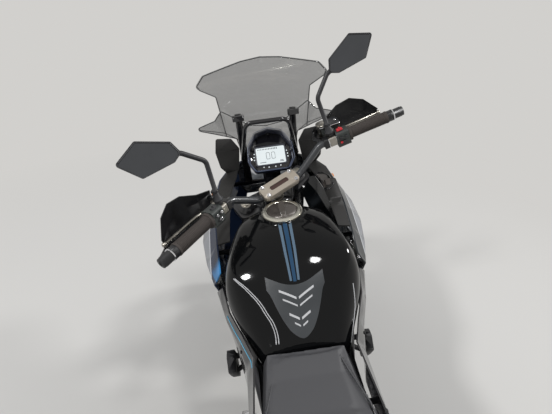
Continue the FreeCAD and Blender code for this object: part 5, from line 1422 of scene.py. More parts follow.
@dataclass
class TankTop:
    """The tank's stripes, its pad, silver lines of painted highlight along its crease edges and the cap's
    ring of screws.
    """

    shop: Workshop
    cap: Triple = (918.0, 0.0, 1020.0)
    ring: Pairs = ((44.5, -1.5), (44.5, 1.6), (46.0, 3.0), (55.0, 3.0), (58.0, 1.2), (58.6, -1.5))
    screw_circle: float = 51.0
    screws: int = 6
    stripes: tuple[Pairs, ...] = (((860.0, 14.6), (770.0, 13.1), (706.0, 9.8)),
                                  ((860.0, 0.0), (770.0, 0.0), (704.0, 0.0)),
                                  ((860.0, -14.6), (770.0, -13.1), (706.0, -9.8)))
    widths: Pairs = ((8.2, 5.6), (12.4, 8.2), (8.2, 5.6))
    pad_top: Pairs = ((724.0, 74.0), (715.0, 57.0), (703.0, 30.0), (698.0, 0.0), (703.0, -30.0),
                      (715.0, -57.0), (724.0, -74.0))
    pad_low: Pairs = ((699.0, 74.0), (686.0, 65.0), (664.0, 55.0), (638.0, 41.0), (616.0, 24.0),
                      (603.0, 0.0), (616.0, -24.0), (638.0, -41.0), (664.0, -55.0), (686.0, -65.0),
                      (699.0, -74.0))
    # tip, reach and width of each chevron
    chevrons: Triples = ((676.0, 44.0, 4.4), (662.0, 37.0, 3.2), (640.0, 26.0, 4.4),
                         (627.0, 16.0, 3.2))
    # (x, y, z) points of the painted highlight lines on the tank's crease edges: the left one is drawn twice
    # side by side, the right one once
    left_highlight: Triples = ((745.6, 152.4, 945.8), (719.9, 127.8, 936.1), (696.5, 105.3, 920.9),
                          (678.4, 90.4, 906.9), (659.6, 78.7, 891.0), (644.5, 69.0, 879.0),
                          (629.4, 63.2, 866.5), (615.1, 61.2, 854.5), (604.0, 62.0, 846.0))
    right_highlight: Triples = ((712.0, -152.0, 900.0), (680.0, -148.4, 853.3), (648.4, -135.2, 827.6),
                           (608.0, -117.0, 803.0))

    def cap_ring(self, top: Surface) -> None:
        """Builds the cap's bright ring and the raised bar of its lid."""
        shop, (x, y, _) = self.shop, self.cap
        level = top.down(x, y + 52.0)[0].z
        ring = shop.form("cap_ring")
        ring.rings([[Vector((x + r * math.cos(a), r * math.sin(a), level + h)) for r, h in self.ring]
                    for a in (2 * math.pi * k / 72 for k in range(72))], wrap=True)
        shop.add(ring, Finish.CAP_RING)
        lid = top.down(x + 20.0, 0.0)[0].z
        bar = shop.form("cap_lid_bar")
        bar.slab(Vector((x, 0, lid - 1.0)), AHEAD, LEFT, (70.0, 20.0), UP * 6.0, 6.0, 0.86)
        shop.add(bar, Finish.CAP_LID, edge=1.0)

    def build(self) -> None:
        """Builds the tank's artwork and trim, and its painted highlight lines."""
        shop = self.shop
        surface = shop.surface("fuel_tank")
        pale, blue = shop.form("tank_pale_stripes"), shop.form("tank_blue_stripe")
        for form, line, width in zip((pale, blue, pale), self.stripes, self.widths):
            wide = [width[0] + (width[1] - width[0]) * k / (len(line) - 1) for k in range(len(line))]
            form.patch(surface, [(x, y + w / 2) for (x, y), w in zip(line, wide)],
                       [(x, y - w / 2) for (x, y), w in zip(line, wide)], 0.35, 40, 4)
        shop.add(pale, Finish.PALE_STRIPE, 60)
        shop.add(blue, Finish.BLUE_STRIPE, 60)
        pad = shop.form("tank_pad")
        pad.patch(surface, self.curve(self.pad_top), self.curve(self.pad_low), 2.0, 60, 24, 1.0)
        shop.add(pad, Finish.PAD, 60)
        motif = shop.form("pad_motif")
        for tip, reach, wide in self.chevrons:
            for side in (-1, 1):
                inner, outer = ([(tip - back, side * 3.0), (tip + reach * 0.42 - back, side * reach)]
                                for back in (0.0, wide))
                motif.patch(surface, inner, outer, 2.5, 16, 3, 0.4)
        shop.add(motif, Finish.SILVER, 60)
        # painted highlight: silver lines along the crease edges stand in for the reflections there
        lines = shop.form("tank_edge_lines")
        for path, shift in ((self.left_highlight, 0.0), (self.left_highlight, 6.5), (self.right_highlight, 0.0)):
            laid = []
            for point in eased([Vector(p) for p in path]):
                at, normal = surface.near(point + Vector((0, shift, 0)))
                laid.append(at + normal * 0.1)
            lines.tube(laid, 1.3, 6)
        shop.add(lines, Finish.SILVER, 60)
        top = shop.surface("tank_cap")
        self.cap_ring(top)
        spots = []
        for k in range(self.screws):
            a = math.pi / 6 + k * math.pi / 3
            place = Vector(self.cap) + Vector((math.cos(a), math.sin(a), 0)) * self.screw_circle
            spots.append(Spot(*top.down(place.x, place.y)))
        shop.scatter("cap_screws", socket_bolt(shop, 3.6, 2.4), spots, Finish.STEEL, wobble=1.0, seed=3)

    @staticmethod
    def curve(points: Sequence[Pair]) -> list[Pair]:
        """Smooths a flat line."""
        return [(p.x, p.y) for p in eased([Vector((x, y, 0)) for x, y in points], 6)]


@dataclass
class Seats:
    """The two seats, each padded by cloth under pressure, with sewn lines."""

    shop: Workshop
    voxel: float = 5.0
    pressure: float = 4.0
    stiffness: float = 12.0
    frames: int = 20
    held_share: float = 0.42
    shrink: float = 5.0
    swell: float = 7.0
    proud: float = 1.5
    stitch_pitch: float = 7.5
    waist: Triple = (430.0, 155.0, 0.42)
    # node, first and last x, and side of each seat's two seams
    seams: Rows = (("rider_seat", 300.0, 560.0, 116.0), ("pillion_seat", 20.0, 225.0, 96.0))

    def plump(self, node: str) -> None:
        """Pads a seat: a remeshed copy, pinned below, is filled as cloth and held to its CAD shape."""
        cad = self.shop.nodes[node]
        piece = smooth_copy(cad, "padded_" + node, 180.0)
        remesh = piece.modifiers.new("remesh", "REMESH")
        remesh.mode, remesh.voxel_size = "VOXEL", self.voxel * MM
        piece.data = evaluated(piece)
        piece.modifiers.clear()
        rest = [v.co.copy() for v in piece.data.vertices]
        low, high = min(p.z for p in rest), max(p.z for p in rest)
        normals = [v.normal.copy() for v in piece.data.vertices]
        for vert, normal in zip(piece.data.vertices, normals):
            share = min(max((vert.co.z - low) / (high - low) * 2.2 - 0.5, 0.0), 1.0)
            vert.co -= normal * self.shrink * MM * share
        group = piece.vertex_groups.new(name="held")
        for i, point in enumerate(rest):
            if (point.z - low) / (high - low) < self.held_share or normals[i].z < -0.3:
                group.add([i], 1.0, "REPLACE")
        self.inflate(piece, rest)
        solid = BVHTree.FromPolygons([v.co for v in cad.data.vertices],
                                     [tuple(p.vertices) for p in cad.data.polygons])
        for vert in piece.data.vertices:
            at, normal, _, _ = solid.find_nearest(vert.co)
            if (vert.co - at).dot(normal) > self.proud * MM:
                vert.co = at + normal * self.proud * MM
        for polygon in piece.data.polygons:
            polygon.use_smooth = True
        subdivide = piece.modifiers.new("subdivision", "SUBSURF")
        subdivide.levels = subdivide.render_levels = 1
        self.shop.ride(piece, "chassis", Finish.VINYL, None, (node,))

    def inflate(self, piece: Node, rest: Sequence[Vector]) -> None:
        """Fills a pinned seat as cloth, and lets no point move further than its swell from rest.

        Args:
            piece: The seat, with its vertex group of held points.
            rest: Where its points were before it was shrunk.
        """
        cloth = piece.modifiers.new("cloth", "CLOTH")
        cloth.settings.vertex_group_mass = "held"
        cloth.settings.use_pressure = True
        cloth.settings.uniform_pressure_force = self.pressure
        cloth.settings.effector_weights.gravity = 0.0
        cloth.settings.tension_stiffness = cloth.settings.compression_stiffness = self.stiffness
        cloth.collision_settings.use_collision = False
        for step in range(1, self.frames + 1):
            bpy.context.scene.frame_set(step)
        shaped = evaluated(piece)
        piece.modifiers.clear()
        bpy.context.scene.frame_set(1)
        for vert, target, start in zip(piece.data.vertices, shaped.vertices, rest):
            move = target.co - start
            if move.length > self.swell * MM:
                move *= self.swell * MM / move.length
            vert.co = start + move

    def seam_spot(self, node: str, surface: Surface, x: float, side: int, reach: float, row: float,
                  sink: float) -> Spot:
        """Gives a spot on or beside a seam, a little below the seat's surface."""
        start, length, share = self.waist
        narrow = 1.0 - share * max(0.0, (x - start) / length) if node == "rider_seat" else 1.0
        at, normal = surface.down(x, side * (reach * narrow + row))
        return Spot(at - normal * sink, normal)

    def build(self) -> None:
        """Builds the seats and their seams."""
        shop = self.shop
        for node, *_ in self.seams:
            self.plump(node)
        spots = []
        seams = shop.form("seat_seams")
        for node, x0, x1, reach in self.seams:
            surface = shop.surface(node)
            for side in (-1, 1):
                seams.tube([self.seam_spot(node, surface, x0 + (x1 - x0) * k / 48, side, reach, 0.0, 1.5).at
                            for k in range(49)], 2.0, 6)
                spots += [self.seam_spot(node, surface, x0 + 4 + self.stitch_pitch * k, side, reach, row, 1.3)
                          for row in (-4.0, 4.0) for k in range(int((x1 - x0) / self.stitch_pitch))]
        shop.add(seams, Finish.VINYL, 60)
        stitch = shop.template("stitch")
        stitch.tube([Vector((x, 0, z)) for x, z in ((-2.4, -0.6), (-1.4, 0.5), (1.4, 0.5), (2.4, -0.6))],
                    0.55, 5)
        shop.scatter("seat_stitches", stitch, spots, Finish.THREAD, wobble=0.25, seed=11)


# Wheels

@dataclass
class Tyre:
    """A road tyre with real grooves."""

    shop: Workshop
    name: str
    body: str
    node: str
    x: float
    radius: float
    width: float
    rim_width: float
    forward: int = 1
    seat: float = 216.0
    around: int = 624
    groove: float = 5.0
    repeats: int = 26
    inside_cad: float = 0.2
    columns: int = 44
    slick_edge: float = 0.88
    centre_groove: float = 0.035
    sweep: float = 0.55
    long_reach: Pair = (0.16, 0.86)
    short_reach: Pair = (0.40, 0.72)
    short_width: float = 0.12
    stagger: float = 0.52

    def section(self) -> list[Triple]:
        """Gives the closed section's (side, height from the axle, share of tread) points, bead to bead."""
        half, crown = self.width / 2, self.radius - self.inside_cad
        corner = Vector((self.rim_width / 2 - 2.0, self.seat + 10.0))
        points = []
        for k in range(self.columns):
            a = math.radians(-100 + 200 * k / (self.columns - 1))
            points.append((half * math.sin(a), crown - half + half * math.cos(a),
                           1.0 if abs(a) < math.radians(66) else 0.0))
        shoulder, bead = points[0], self.seat + 2.0
        before = [(-corner.x, bead, 0.0), (-corner.x - 1.0, self.seat + 9.0, 0.0)]
        for k in range(1, 7):
            t = k / 7
            before.append((-corner.x + (shoulder[0] + corner.x) * math.sin(t * math.pi / 2),
                           corner.y + (shoulder[1] - corner.y) * t, 0.0))
        after = [(-y, z, s) for y, z, s in reversed(before)]
        return before + points + after + [(corner.x - 8.0, bead, 0.0), (-corner.x + 8.0, bead, 0.0)]

    def depth(self, side: float, turn: float) -> float:
        """Gives how deep the tread is cut at a side place and a turn, as a share."""
        place = side / (self.width / 2)
        across = abs(place)
        if across > self.slick_edge:
            return 0.0
        if across < self.centre_groove:
            return 1.0 if self.forward > 0 else 0.0
        cell = turn * self.repeats / (2 * math.pi)
        sweep = cell + self.sweep * across * self.forward + (0.5 if place > 0 else 0.0)
        if sweep % 1.0 < 0.15 + 0.06 * across and self.long_reach[0] < across < self.long_reach[1]:
            return 1.0
        short_cut = (sweep + self.stagger) % 1.0 < self.short_width
        return 1.0 if short_cut and self.short_reach[0] < across < self.short_reach[1] else 0.0

    def build(self) -> None:
        """Builds the tyre."""
        section = self.section()
        form = self.shop.form(self.name, self.body)
        loops = []
        for i in range(self.around):
            turn = 2 * math.pi * i / self.around
            loop = []
            for side, height, tread in section:
                cut = self.groove * tread * self.depth(side, turn)
                reach = height
                if cut:
                    mid = self.radius - self.width / 2
                    away = Vector((side, height - mid))
                    away *= (away.length - cut) / away.length
                    side, reach = away.x, mid + away.y
                loop.append(Vector((self.x + reach * math.sin(turn), side,
                                    self.radius + reach * math.cos(turn))))
            loops.append(loop)
        form.rings(loops, wrap=True)
        self.shop.add(form, Finish.TYRE, 38, replaces=(self.node,))


@dataclass
class Wheels:
    """Tyres, disc and sprocket bolts, and valves."""

    shop: Workshop
    valve: Pairs = ((6.0, -10.0), (6.0, 2), (4.4, 4), (4.4, 20), (5.2, 21), (5.2, 30), (3.6, 32))
    # body, axle's x and z, side, circle and count of each ring of bolts, and the nodes that they may sit on
    rings: Rows = (
        ("front_wheel", 1415.0, 300.0, ((1, 42.0, 6), (-1, 42.0, 6)), ("front_discs", "front_rim")),
        ("rear_wheel", 0.0, 312.0, ((1, 52.0, 6), (-1, 45.0, 5)), ("rear_disc", "rear_sprocket", "rear_rim")))

    def build(self) -> None:
        """Builds both wheels' detail."""
        shop = self.shop
        Tyre(shop, "tread_front", "front_wheel", "front_tyre", 1415.0, 300.0, 120.0, 104.0, 1).build()
        Tyre(shop, "tread_rear", "rear_wheel", "rear_tyre", 0.0, 312.0, 160.0, 130.0, -1).build()
        for body, x, z, rows, nodes in self.rings:
            spots = []
            surfaces = [shop.surface(node) for node in nodes]
            for side, circle, count in rows:
                way = Vector((0, side, 0))
                for k in range(count):
                    a = 2 * math.pi * (k + 0.5) / count
                    start = Vector((x + circle * math.cos(a), side * 260.0, z + circle * math.sin(a)))
                    met = [spot for surface in surfaces for spot in surface.spots([start], way)]
                    spots.append(max(met, key=lambda spot: spot.at.y * spot.facing.y))
            shop.scatter(body + "_bolts", socket_bolt(shop, 6.0, 4.2), spots, Finish.STEEL, body, wobble=1.0,
                         seed=9)
            valve = shop.form(body + "_valve", body)
            valve.lathe(Vector((x, 22.0, z - 206.0)), Vector((0.0, 0.35, 1.0)), self.valve, 18)
            shop.add(valve, Finish.RUBBER)


# Chassis details

def facing_spots(surface: Surface, side: int, places: Sequence[Pair], reach: float = 420.0) -> list[Spot]:
    """Gives spots on a surface that is seen from the left (1) or right (-1), at (x, z) places."""
    return surface.spots([Vector((x, side * reach, z)) for x, z in places], Vector((0, side, 0)))


def ring_of(x: float, z: float, radius: float, count: int, start: float = 0.0) -> list[Pair]:
    """Gives evenly spaced (x, z) places on a circle."""
    return [(x + radius * math.cos(start + 2 * math.pi * k / count),
             z + radius * math.sin(start + 2 * math.pi * k / count)) for k in range(count)]


@dataclass
class EngineTrim:
    """Cover bolts, oil cap and hoses of the engine, and the radiator's slats."""

    shop: Workshop
    core: Vector = field(default_factory=lambda: Vector((1074.0, 0.0, 566.0)))
    lean: float = math.radians(16.0)
    slats: int = 31
    slat_pitch: float = 8.1
    slat_out: float = 16.2
    left_circle: tuple[float, ...] = (892, 385, 66, 9)
    left_corners: Pairs = ((716, 342), (790, 342), (790, 458), (716, 430))
    right_circles: Rows = ((820, 390, 79, 10, 0.3), (925, 350, 36, 5, 0.2))
    # x, z, side and radius of each round cap
    caps: tuple[tuple[int, ...], ...] = ((892, 385, 1, 20), (820, 390, -1, 24), (925, 350, -1, 14))
    hose_radius: float = 12.5
    hoses: tuple[Triples, ...] = (
        ((1062, -165, 716), (1030, -160, 740), (985, -140, 742), (955, -112, 730), (940, -92, 716)),
        ((1092, 165, 455), (1060, 160, 425), (1010, 130, 420), (965, 100, 430)))

    def build(self) -> None:
        """Builds the engine's hardware."""
        shop = self.shop
        covers = shop.surface("engine_covers")
        left = ring_of(*self.left_circle) + list(self.left_corners)
        right = [place for circle in self.right_circles for place in ring_of(*circle)]
        spots = facing_spots(covers, 1, left) + facing_spots(covers, -1, right)
        shop.scatter("cover_bolts", hexagon_bolt(shop, 5.0, 4.6), spots, Finish.STEEL, wobble=1.0, seed=5)
        cap = shop.form("oil_cap")
        for x, z, side, size in self.caps:
            profile = [(size, -1), (size, 2.0), (size - 2, 3.2), (size * 0.55, 3.2), (size * 0.5, 2.2),
                       (0, 2.2)]
            for spot in facing_spots(covers, side, [(x, z)], 400):
                cap.lathe(spot.at, spot.facing, profile, 40)
        shop.add(cap, Finish.ALUMINIUM)
        hoses = shop.form("water_hoses")
        for path in self.hoses:
            hoses.tube(eased([Vector(p) for p in path]), self.hose_radius, 16)
        shop.add(hoses, Finish.RUBBER)
        front = Vector((math.cos(self.lean), 0, math.sin(self.lean)))
        up = Vector((-math.sin(self.lean), 0, math.cos(self.lean)))
        slat = shop.template("radiator_slat")
        slat.slab(Vector((0, 0, -0.6)), AHEAD, LEFT, (296, 2.6), Vector((0, 0, 1.7)), 1.0)
        spots = [Spot(self.core + up * (-122 + self.slat_pitch * k) + front * (self.slat_out * way),
                      front * way, LEFT) for k in range(self.slats) for way in (-1, 1)]
        shop.scatter("radiator_slats", slat, spots, Finish.RADIATOR)


@dataclass
class Chain:
    """The drive chain's links, laid on the loop round both chain wheels."""

    shop: Workshop
    front: Pair = (735.0, 400.0)
    rear: Pair = (0.0, 312.0)
    front_radius: float = 38.0
    rear_radius: float = 121.37
    side: float = 97.0
    pitch: float = 15.875
    plate: float = 1.7

    def loop(self) -> list[Vector]:
        """Gives the chain's line, a pitch from point to point."""
        a, b = Vector((self.front[0], 0, self.front[1])), Vector((self.rear[0], 0, self.rear[1]))
        span = a - b
        tilt = math.atan2(span.z, span.x)
        lean = math.acos((self.rear_radius - self.front_radius) / span.length)
        line = []
        for k in range(41):
            t = tilt + lean - 2 * lean * k / 40
            line.append(a + Vector((math.cos(t), 0, math.sin(t))) * self.front_radius)
        for k in range(81):
            t = tilt - lean - (2 * math.pi - 2 * lean) * k / 80
            line.append(b + Vector((math.cos(t), 0, math.sin(t))) * self.rear_radius)
        line.append(line[0].copy())
        whole = sum((q - p).length for p, q in zip(line, line[1:]))
        count = 2 * round(whole / self.pitch / 2)
        return resampled(line, count + 1)[:-1]

    def link(self, name: str, heights: Pair, tall: float, pin: Sequence[Pair], foot: float,
             sides: int) -> Form:
        """Draws one link: two plates, and a roller or a pin at each end.

        Args:
            name: The template's name.
            heights: Where the plates start, across the chain.
            tall: The plates' height.
            pin: The outline of the roller or pin.
            foot: Where that outline starts.
            sides: Edges round it.

        Returns:
            The link, about its own middle.
        """
        form = self.shop.template(name)
        for z in heights:
            form.slab(Vector((0, 0, z)), AHEAD, LEFT, (self.pitch + tall, tall), Vector((0, 0, self.plate)),
                      tall / 2 - 0.2)
        for x in (-self.pitch / 2, self.pitch / 2):
            form.lathe(Vector((x, 0, foot)), UP, pin, sides)
        return form

    def build(self) -> None:
        """Builds the chain."""
        shop = self.shop
        points = [p + Vector((0, self.side, 0)) for p in self.loop()]
        spots = [Spot((p + q) / 2, LEFT, (q - p).normalized())
                 for p, q in zip(points, points[1:] + points[:1])]
        inner = self.link("inner_link", (-6.3, 4.6), 13.6, [(5.0, 0), (5.0, 9.0)], -4.5, 14)
        outer = self.link("outer_link", (-8.3, 6.6), 12.2,
                          [(2.5, 0), (2.7, 0.4), (2.7, 17.4), (2.5, 17.8)], -8.9, 10)
        shop.scatter("chain_inner_links", inner, spots[::2], Finish.CHAIN, replaces=("drive_chain",))
        shop.scatter("chain_outer_links", outer, spots[1::2], Finish.CHAIN)


@dataclass
class Exhaust:
    """The silencer's shield, with its slots and screws."""

    shop: Workshop
    outline: Pairs = ((604, 190), (812, 184), (818, 228), (628, 234), (604, 222))
    screws: Pairs = ((622, 224), (800, 194), (800, 220), (622, 198))
    slots: int = 5
    slot_pitch: float = 28.0

    def build(self) -> None:
        """Builds the exhaust's trim."""
        shop = self.shop
        side = facing_spots(shop.surface("exhaust"), -1, [(700, 208)])[0].at.y
        shield = shop.form("silencer_shield")
        shield.prism(rounded(self.outline, 8), Vector((0, side + 1.0, 0)), AHEAD, UP, Vector((0, -4.0, 0)),
                     0.985)
        shop.add(shield, Finish.MOULDED, edge=0.6)
        spots = [Spot(Vector((x, side - 3.0, z)), Vector((0, -1, 0))) for x, z in self.screws]
        shop.scatter("shield_screws", button_screw(shop, 5.0), spots, Finish.STEEL, wobble=1.0, seed=6)
        slots = shop.form("shield_slots")
        for k in range(self.slots):
            slots.slab(Vector((660 + self.slot_pitch * k, side - 2.6, 209)), Vector((0.97, 0, 0.25)),
                       Vector((-0.25, 0, 0.97)), (6.5, 24), Vector((0, -0.8, 0)), 3.0)
        shop.add(slots, Finish.GLOSS_BLACK)


@dataclass
class Lamps:
    """Headlamp projectors and light lines, and the blank plate with its screws."""

    shop: Workshop
    ray_start: float = 1700.0
    light_line: Pairs = tuple((28 + 4.1 * k, 925 + 1.8 * k) for k in range(15))
    projectors: Pairs = ((42, 912), (66, 924))
    size: float = 10.5
    plate_middle: Vector = field(default_factory=lambda: Vector((-383.5, 0, 657.0)))
    plate_down: Vector = field(default_factory=lambda: Vector((-0.514, 0, -0.857)))
    plate_back: Vector = field(default_factory=lambda: Vector((-0.857, 0, 0.514)))

    def headlamps(self) -> None:
        """Builds the projectors and the light lines on the lenses."""
        shop, size = self.shop, self.size
        lens = shop.surface("headlamps")
        line, rims, eyes = (shop.form(name) for name in ("day_lines", "projector_rims", "projector_eyes"))
        rim = [(size, 0), (size, 2.2), (size - 2.5, 2.8), (size - 3.0, 1.0), (0, 1.0)]
        eye = [(size - 3.2, 0), (size - 3.6, 2.2), (size * 0.5, 3.4), (0, 3.8)]
        way = Vector((-1, 0, 0))
        for side in (-1, 1):
            found = [lens.cast(Vector((self.ray_start, side * y, z)), way) for y, z in self.light_line]
            line.tube([hit[0] + Vector((0.3, 0, 0)) for hit in found if hit is not None], 2.2, 8)
            for y, z in self.projectors:
                at, normal = lens.cast(Vector((self.ray_start, side * y, z)), way)
                rims.lathe(at - normal * 1.5, normal, rim, 28)
                eyes.lathe(at - normal * 1.0, normal, eye, 24)
        for form, finish in ((line, Finish.LAMP_LIT), (rims, Finish.CHROME), (eyes, Finish.DIAL)):
            shop.add(form, finish)

    def build(self) -> None:
        """Builds the lamps' details and the plate."""
        self.headlamps()
        shop, down, back = self.shop, self.plate_down, self.plate_back
        plate = shop.form("blank_plate")
        plate.slab(self.plate_middle - back * 0.8, LEFT, down, (172, 120), back * 1.8, 8)
        shop.add(plate, Finish.PLATE)
        spots = [Spot(self.plate_middle + back * 1.0 + Vector((0, side * 60, 0)) - down * 46, back, LEFT)
                 for side in (-1, 1)]
        shop.scatter("plate_screws", button_screw(shop, 4.6), spots, Finish.STEEL)


@dataclass
class Chassis:
    """Axle nuts, chain adjusters, peg ribs, trim screws, a pale blue painted highlight line on the left side
    cover and the glove lid.
    """

    shop: Workshop
    # node, body, and the axle's x and z
    axles: Rows = (("rear_axle", "chassis", 0.0, 312.0),
                   ("front_axle", "steering", 1415.0, 300.0))
    frame_bolts: Pairs = ((585, 390), (800, 640), (905, 560), (700, 520))
    fairing_screws: Pairs = ((1010, 700), (1120, 640), (1180, 860), (960, 820), (1250, 900),
                             (1060, 520))
    tail_screws: Pairs = ((640, 790), (430, 815), (120, 850), (-60, 865))
    # node, x, first and last side, and count of each row of peg ribs
    pegs: Rows = (("footpegs", 522, 208, 256, 7), ("pillion_pegs", 280, 150, 220, 8))
    # points of a painted highlight line along the left side cover's edge
    trim: Triples = ((742.0, 195.0, 816.0), (736.7, 193.0, 814.6), (684.0, 172.0, 808.4),
                     (621.6, 146.6, 812.4), (570.3, 132.7, 820.0))
    lid: tuple[Pair, Pair] = ((1066.0, 1146.0), (-146.0, -184.0))
    ring: Pairs = ((-54, -10), (-38, -27), (38, -27), (54, -10), (54, 10), (38, 27), (-38, 27),
                   (-54, 10))

    def both_sides(self, node: str, places: Sequence[Pair], reach: float = 420.0) -> list[Spot]:
        """Gives spots on both sides of a node, at (x, z) places."""
        surface = self.shop.surface(node)
        return facing_spots(surface, -1, places, reach) + facing_spots(surface, 1, places, reach)

    def hardware(self) -> None:
        """Builds the nuts, adjusters, bolts, peg ribs and screws."""
        shop = self.shop
        for node, body, x, z in self.axles:
            spots = [Spot(Vector((x, spot.at.y, z)), spot.facing)
                     for spot in self.both_sides(node, [(x + 9.5, z)], 400)]
            shop.scatter(node + "_nuts", hexagon_bolt(shop, 11.5, 7.0), spots, Finish.STEEL, body)
        spots = shop.surface("swingarm").spots([Vector((-300, side * 125, 312)) for side in (-1, 1)],
                                               Vector((-1, 0, 0)), LEFT)
        shop.scatter("chain_adjusters", hexagon_bolt(shop, 6.5, 9.0), spots, Finish.STEEL)
        spots = self.both_sides("main_frame", self.frame_bolts)
        shop.scatter("frame_bolts", hexagon_bolt(shop, 8.0, 5.0), spots, Finish.STEEL, wobble=1.0, seed=8)
        rib = shop.template("peg_rib")
        rib.slab(Vector((0, 0, -1.0)), AHEAD, LEFT, (36, 4.2), Vector((0, 0, 3.2)), 1.5)
        spots = []
        for node, x, first, last, count in self.pegs:
            surface = shop.surface(node)
            for side in (-1, 1):
                for k in range(count):
                    y = side * (first + (last - first) * k / (count - 1))
                    found = surface.cast(Vector((x, y, 600)), DOWN)
                    if found is not None and abs(found[1].z) > 0.8:
                        spots.append(Spot(found[0], UP))
        shop.scatter("peg_ribs", rib, spots, Finish.RUBBER, size=0.8)
        screws = (self.both_sides("side_fairings", self.fairing_screws)
                  + self.both_sides("tail_panels", self.tail_screws))
        shop.scatter("panel_screws", button_screw(shop, 4.6), screws, Finish.MOULDED, wobble=1.0, seed=2)

    def build(self) -> None:
        """Builds the small parts."""
        self.hardware()
        shop = self.shop
        covers = shop.surface("tail_panels")
        # painted highlight: a pale blue tube on the left side cover's edge stands in for a reflection
        line = shop.form("side_trim_line")
        line.tube([covers.near(point)[0] for point in eased([Vector(p) for p in self.trim])], 1.6, 6)
        shop.add(line, Finish.BLUE_HIGHLIGHT)
        inner = shop.surface("inner_panels")
        (x0, x1), (y0, y1) = self.lid
        lid = shop.form("glove_lid")
        lid.patch(inner, [(x0, y0 - 6), (x0 + 6, y0), (x1 - 6, y0), (x1, y0 - 6)],
                  [(x0, y1 + 6), (x0 + 6, y1), (x1 - 6, y1), (x1, y1 + 6)], 3.0, 24, 8, 1.0)
        shop.add(lid, Finish.POCKET)
        ring = shop.form("glove_ring")
        laid = [inner.down((x0 + x1) / 2 + u, (y0 + y1) / 2 + v) for u, v in rounded(self.ring, 8)]
        ring.tube([at + normal * 0.5 for at, normal in laid], 2.6, 6, closed=True)
        shop.add(ring, Finish.GLOSS_BLACK)


# Studio

@dataclass
class Studio:
    """Floor, lights and camera."""

    camera_at: Vector = field(default_factory=lambda: Vector((-0.5513, 0.1349, 1.5289)))
    looks: Vector = field(default_factory=lambda: Vector((0.84979, -0.12354, -0.51244)))
    above: Vector = field(default_factory=lambda: Vector((0.51660, 0.00193, 0.85622)))
    focal_length: float = 22.376
    pale_colour: Colour = (0.64, 0.63, 0.61)
    floor_colour: Colour = (0.60, 0.59, 0.57)
    floor_reach: float = 60.0
    fade: Pair = (1.1, 2.4)
    sky_colour: Colour = (0.95, 0.97, 1.0)
    sky_strength: float = 0.58
    # name, place, aim, width in metres and power in watts of each lamp
    lamps: Rows = (("key", (-1.5, 3.0, 4.0), (0.1, 0.0, 0.7), 0.5, 110.0),
                   ("fill", (1.0, -3.5, 3.2), (0.2, 0.0, 0.7), 0.6, 70.0),
                   ("top", (-0.9, -0.8, 4.5), (0.3, 0.0, 0.8), 0.5, 40.0))

    def camera(self) -> None:
        """Places the camera where the photograph was taken from."""
        data = bpy.data.cameras.new("camera")
        data.lens = self.focal_length
        data.sensor_width = 36.0
        data.clip_start = 0.05
        made = bpy.data.objects.new("camera", data)
        back = -self.looks.normalized()
        right = self.above.cross(back).normalized()
        turn = Matrix((right, back.cross(right), back)).transposed()
        made.matrix_world = Matrix.Translation(self.camera_at) @ turn.to_4x4()
        bpy.context.scene.collection.objects.link(made)
        bpy.context.scene.camera = made

    @staticmethod
    def seen(sh: Shader) -> Term:
        """Gives 1 on rays that show the surroundings, to the camera, in gloss and through clear sheets."""
        path = sh.node("ShaderNodeLightPath", output="Is Camera Ray")
        owner = path.socket.node
        glossy, through = (Term(sh, owner.outputs[name]) for name in ("Is Glossy Ray", "Is Transmission Ray"))
        return path.math("MAXIMUM", glossy).math("MAXIMUM", through)

    def pale(self) -> bpy.types.Material:
        """Makes the floor's material: a shadow catcher near the machine that fades into the pale backdrop."""
        sh = Shader("studio_floor")
        x, y, _ = sh.split(sh.place())
        away = (x * x + y * y).math("SQRT")
        fade = ((away - self.fade[0]) / self.fade[1]).math("MINIMUM", 1.0).math("MAXIMUM", 0.0)
        diffuse = sh.node("ShaderNodeBsdfDiffuse", None, {"Color": self.floor_colour, "Roughness": 0.6})
        glow = sh.node("ShaderNodeEmission", None, {"Color": self.pale_colour, "Strength": 1.0})
        sh.node_output(sh.node("ShaderNodeMixShader", None, {0: fade * self.seen(sh), 1: diffuse, 2: glow}))
        return sh.material

    def floor(self) -> None:
        """Makes a wide floor."""
        mesh = bpy.data.meshes.new("floor")
        reach = self.floor_reach
        mesh.from_pydata([(-reach, -reach, 0), (reach, -reach, 0), (reach, reach, 0), (-reach, reach, 0)], [],
                         [(0, 1, 2, 3)])
        mesh.materials.append(self.pale())
        made = linked("floor", mesh)

    def world(self) -> None:
        """Makes the surroundings: the floor's pale colour where they are seen, softer as light."""
        sh = Shader("studio", world=True)
        pale = sh.node("ShaderNodeBackground", None, {"Color": self.pale_colour})
        sky = sh.node("ShaderNodeBackground", None, {"Color": self.sky_colour, "Strength": self.sky_strength})
        sh.node_output(sh.node("ShaderNodeMixShader", None, {0: self.seen(sh), 1: sky, 2: pale}),
                       "ShaderNodeOutputWorld")
        bpy.context.scene.world = sh.material

    def lamp(self, name: str, at: Triple, aim: Triple, size: float, power: float) -> None:
        """Hangs one soft lamp."""
        data = bpy.data.lights.new(name, "AREA")
        data.shape, data.size = "DISK", size
        data.energy = power
        made = bpy.data.objects.new(name, data)
        made.matrix_world = (Matrix.Translation(Vector(at))
                             @ (Vector(aim) - Vector(at)).to_track_quat("-Z", "Y").to_matrix().to_4x4())
        bpy.context.scene.collection.objects.link(made)

    def build(self) -> None:
        """Sets up everything that is not the machine."""
        self.camera()
        self.floor()
        self.world()
        for lamp in self.lamps:
            self.lamp(*lamp)
        bpy.context.scene.view_settings.view_transform = "Standard"


# The whole machine

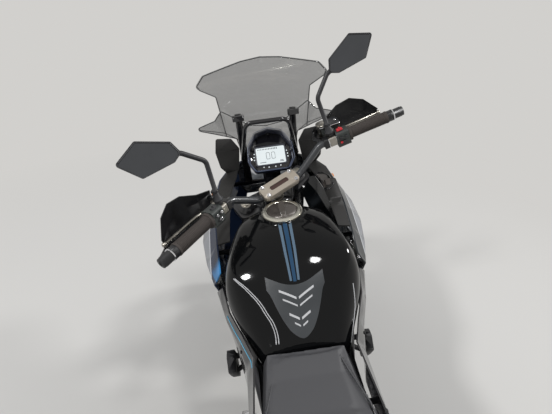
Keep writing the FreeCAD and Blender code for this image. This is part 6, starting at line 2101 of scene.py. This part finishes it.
NODE_FINISH: dict[str, Finish] = {
    "main_frame": Finish.FRAME, "rear_subframe": Finish.FRAME, "engine": Finish.CASTING,
    "engine_covers": Finish.COVER, "radiator": Finish.RADIATOR, "exhaust": Finish.EXHAUST,
    "swingarm": Finish.FRAME, "rear_axle": Finish.STEEL, "shock_absorber": Finish.FRAME,
    "rear_caliper": Finish.CASTING, "fuel_tank": Finish.TANK, "tank_cap": Finish.CAP,
    "side_fairings": Finish.FAIRING, "tail_panels": Finish.GLOSS_BLACK, "nose_cowl": Finish.NOSE,
    "headlamps": Finish.LENS, "windscreen": Finish.SMOKED, "front_stay": Finish.GLOSS_BLACK,
    "instrument_housing": Finish.NAVY, "instrument_display": Finish.DIAL,
    "inner_panels": Finish.INNER, "crash_bobbins": Finish.MOULDED, "footpegs": Finish.RUBBER,
    "pillion_pegs": Finish.RUBBER, "foot_controls": Finish.STEEL, "luggage_rack": Finish.FRAME,
    "rear_lights": Finish.REAR_LENS, "rear_mudguard": Finish.MOULDED, "yokes": Finish.FORK,
    "bar_clamp": Finish.CLAMP, "fork_tubes": Finish.FORK, "stanchions": Finish.STANCHION,
    "front_axle": Finish.STEEL, "front_calipers": Finish.CASTING, "front_mudguard": Finish.GLOSS_BLACK,
    "handlebar": Finish.BAR, "grips": Finish.GRIP, "switchgear": Finish.HOUSING,
    "hand_levers": Finish.ALUMINIUM, "mirrors": Finish.MOULDED, "mirror_glass": Finish.GLASS_MIRROR,
    "hand_guards": Finish.GUARD, "front_rim": Finish.WHEEL, "front_discs": Finish.DISC,
    "rear_rim": Finish.WHEEL, "rear_sprocket": Finish.STEEL, "rear_disc": Finish.DISC,
    "side_stand": Finish.FRAME,
}


def main() -> None:
    """Builds the machine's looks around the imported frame."""
    logging.basicConfig(level=logging.INFO)
    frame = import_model()
    Studio().build()
    rig = Rig(frame["joints"])
    slots = {row["node"]: row["material_slot"] for row in frame["record"]["subparts"]}
    bodies = {node: body for body, nodes in frame["record"]["behaviour"]["bodies"].items() for node in nodes}
    shop = Workshop(frame["nodes"], bodies, rig, Repeats())
    for node, finish in NODE_FINISH.items():
        sharp = 8.0 if node == "mirror_glass" else 32.0
        shell = smooth_copy(frame["nodes"][node], "shell_" + node, sharp)
        shop.ride(shell, bodies[node], finish, slots[node], (node,))
    for assembly in (Cluster, Screen, Head, Controls, Mirrors, TankTop, Seats, Wheels, EngineTrim, Chain,
                     Exhaust, Lamps, Chassis):
        assembly(shop).build()


if __name__ == "__main__":
    main()
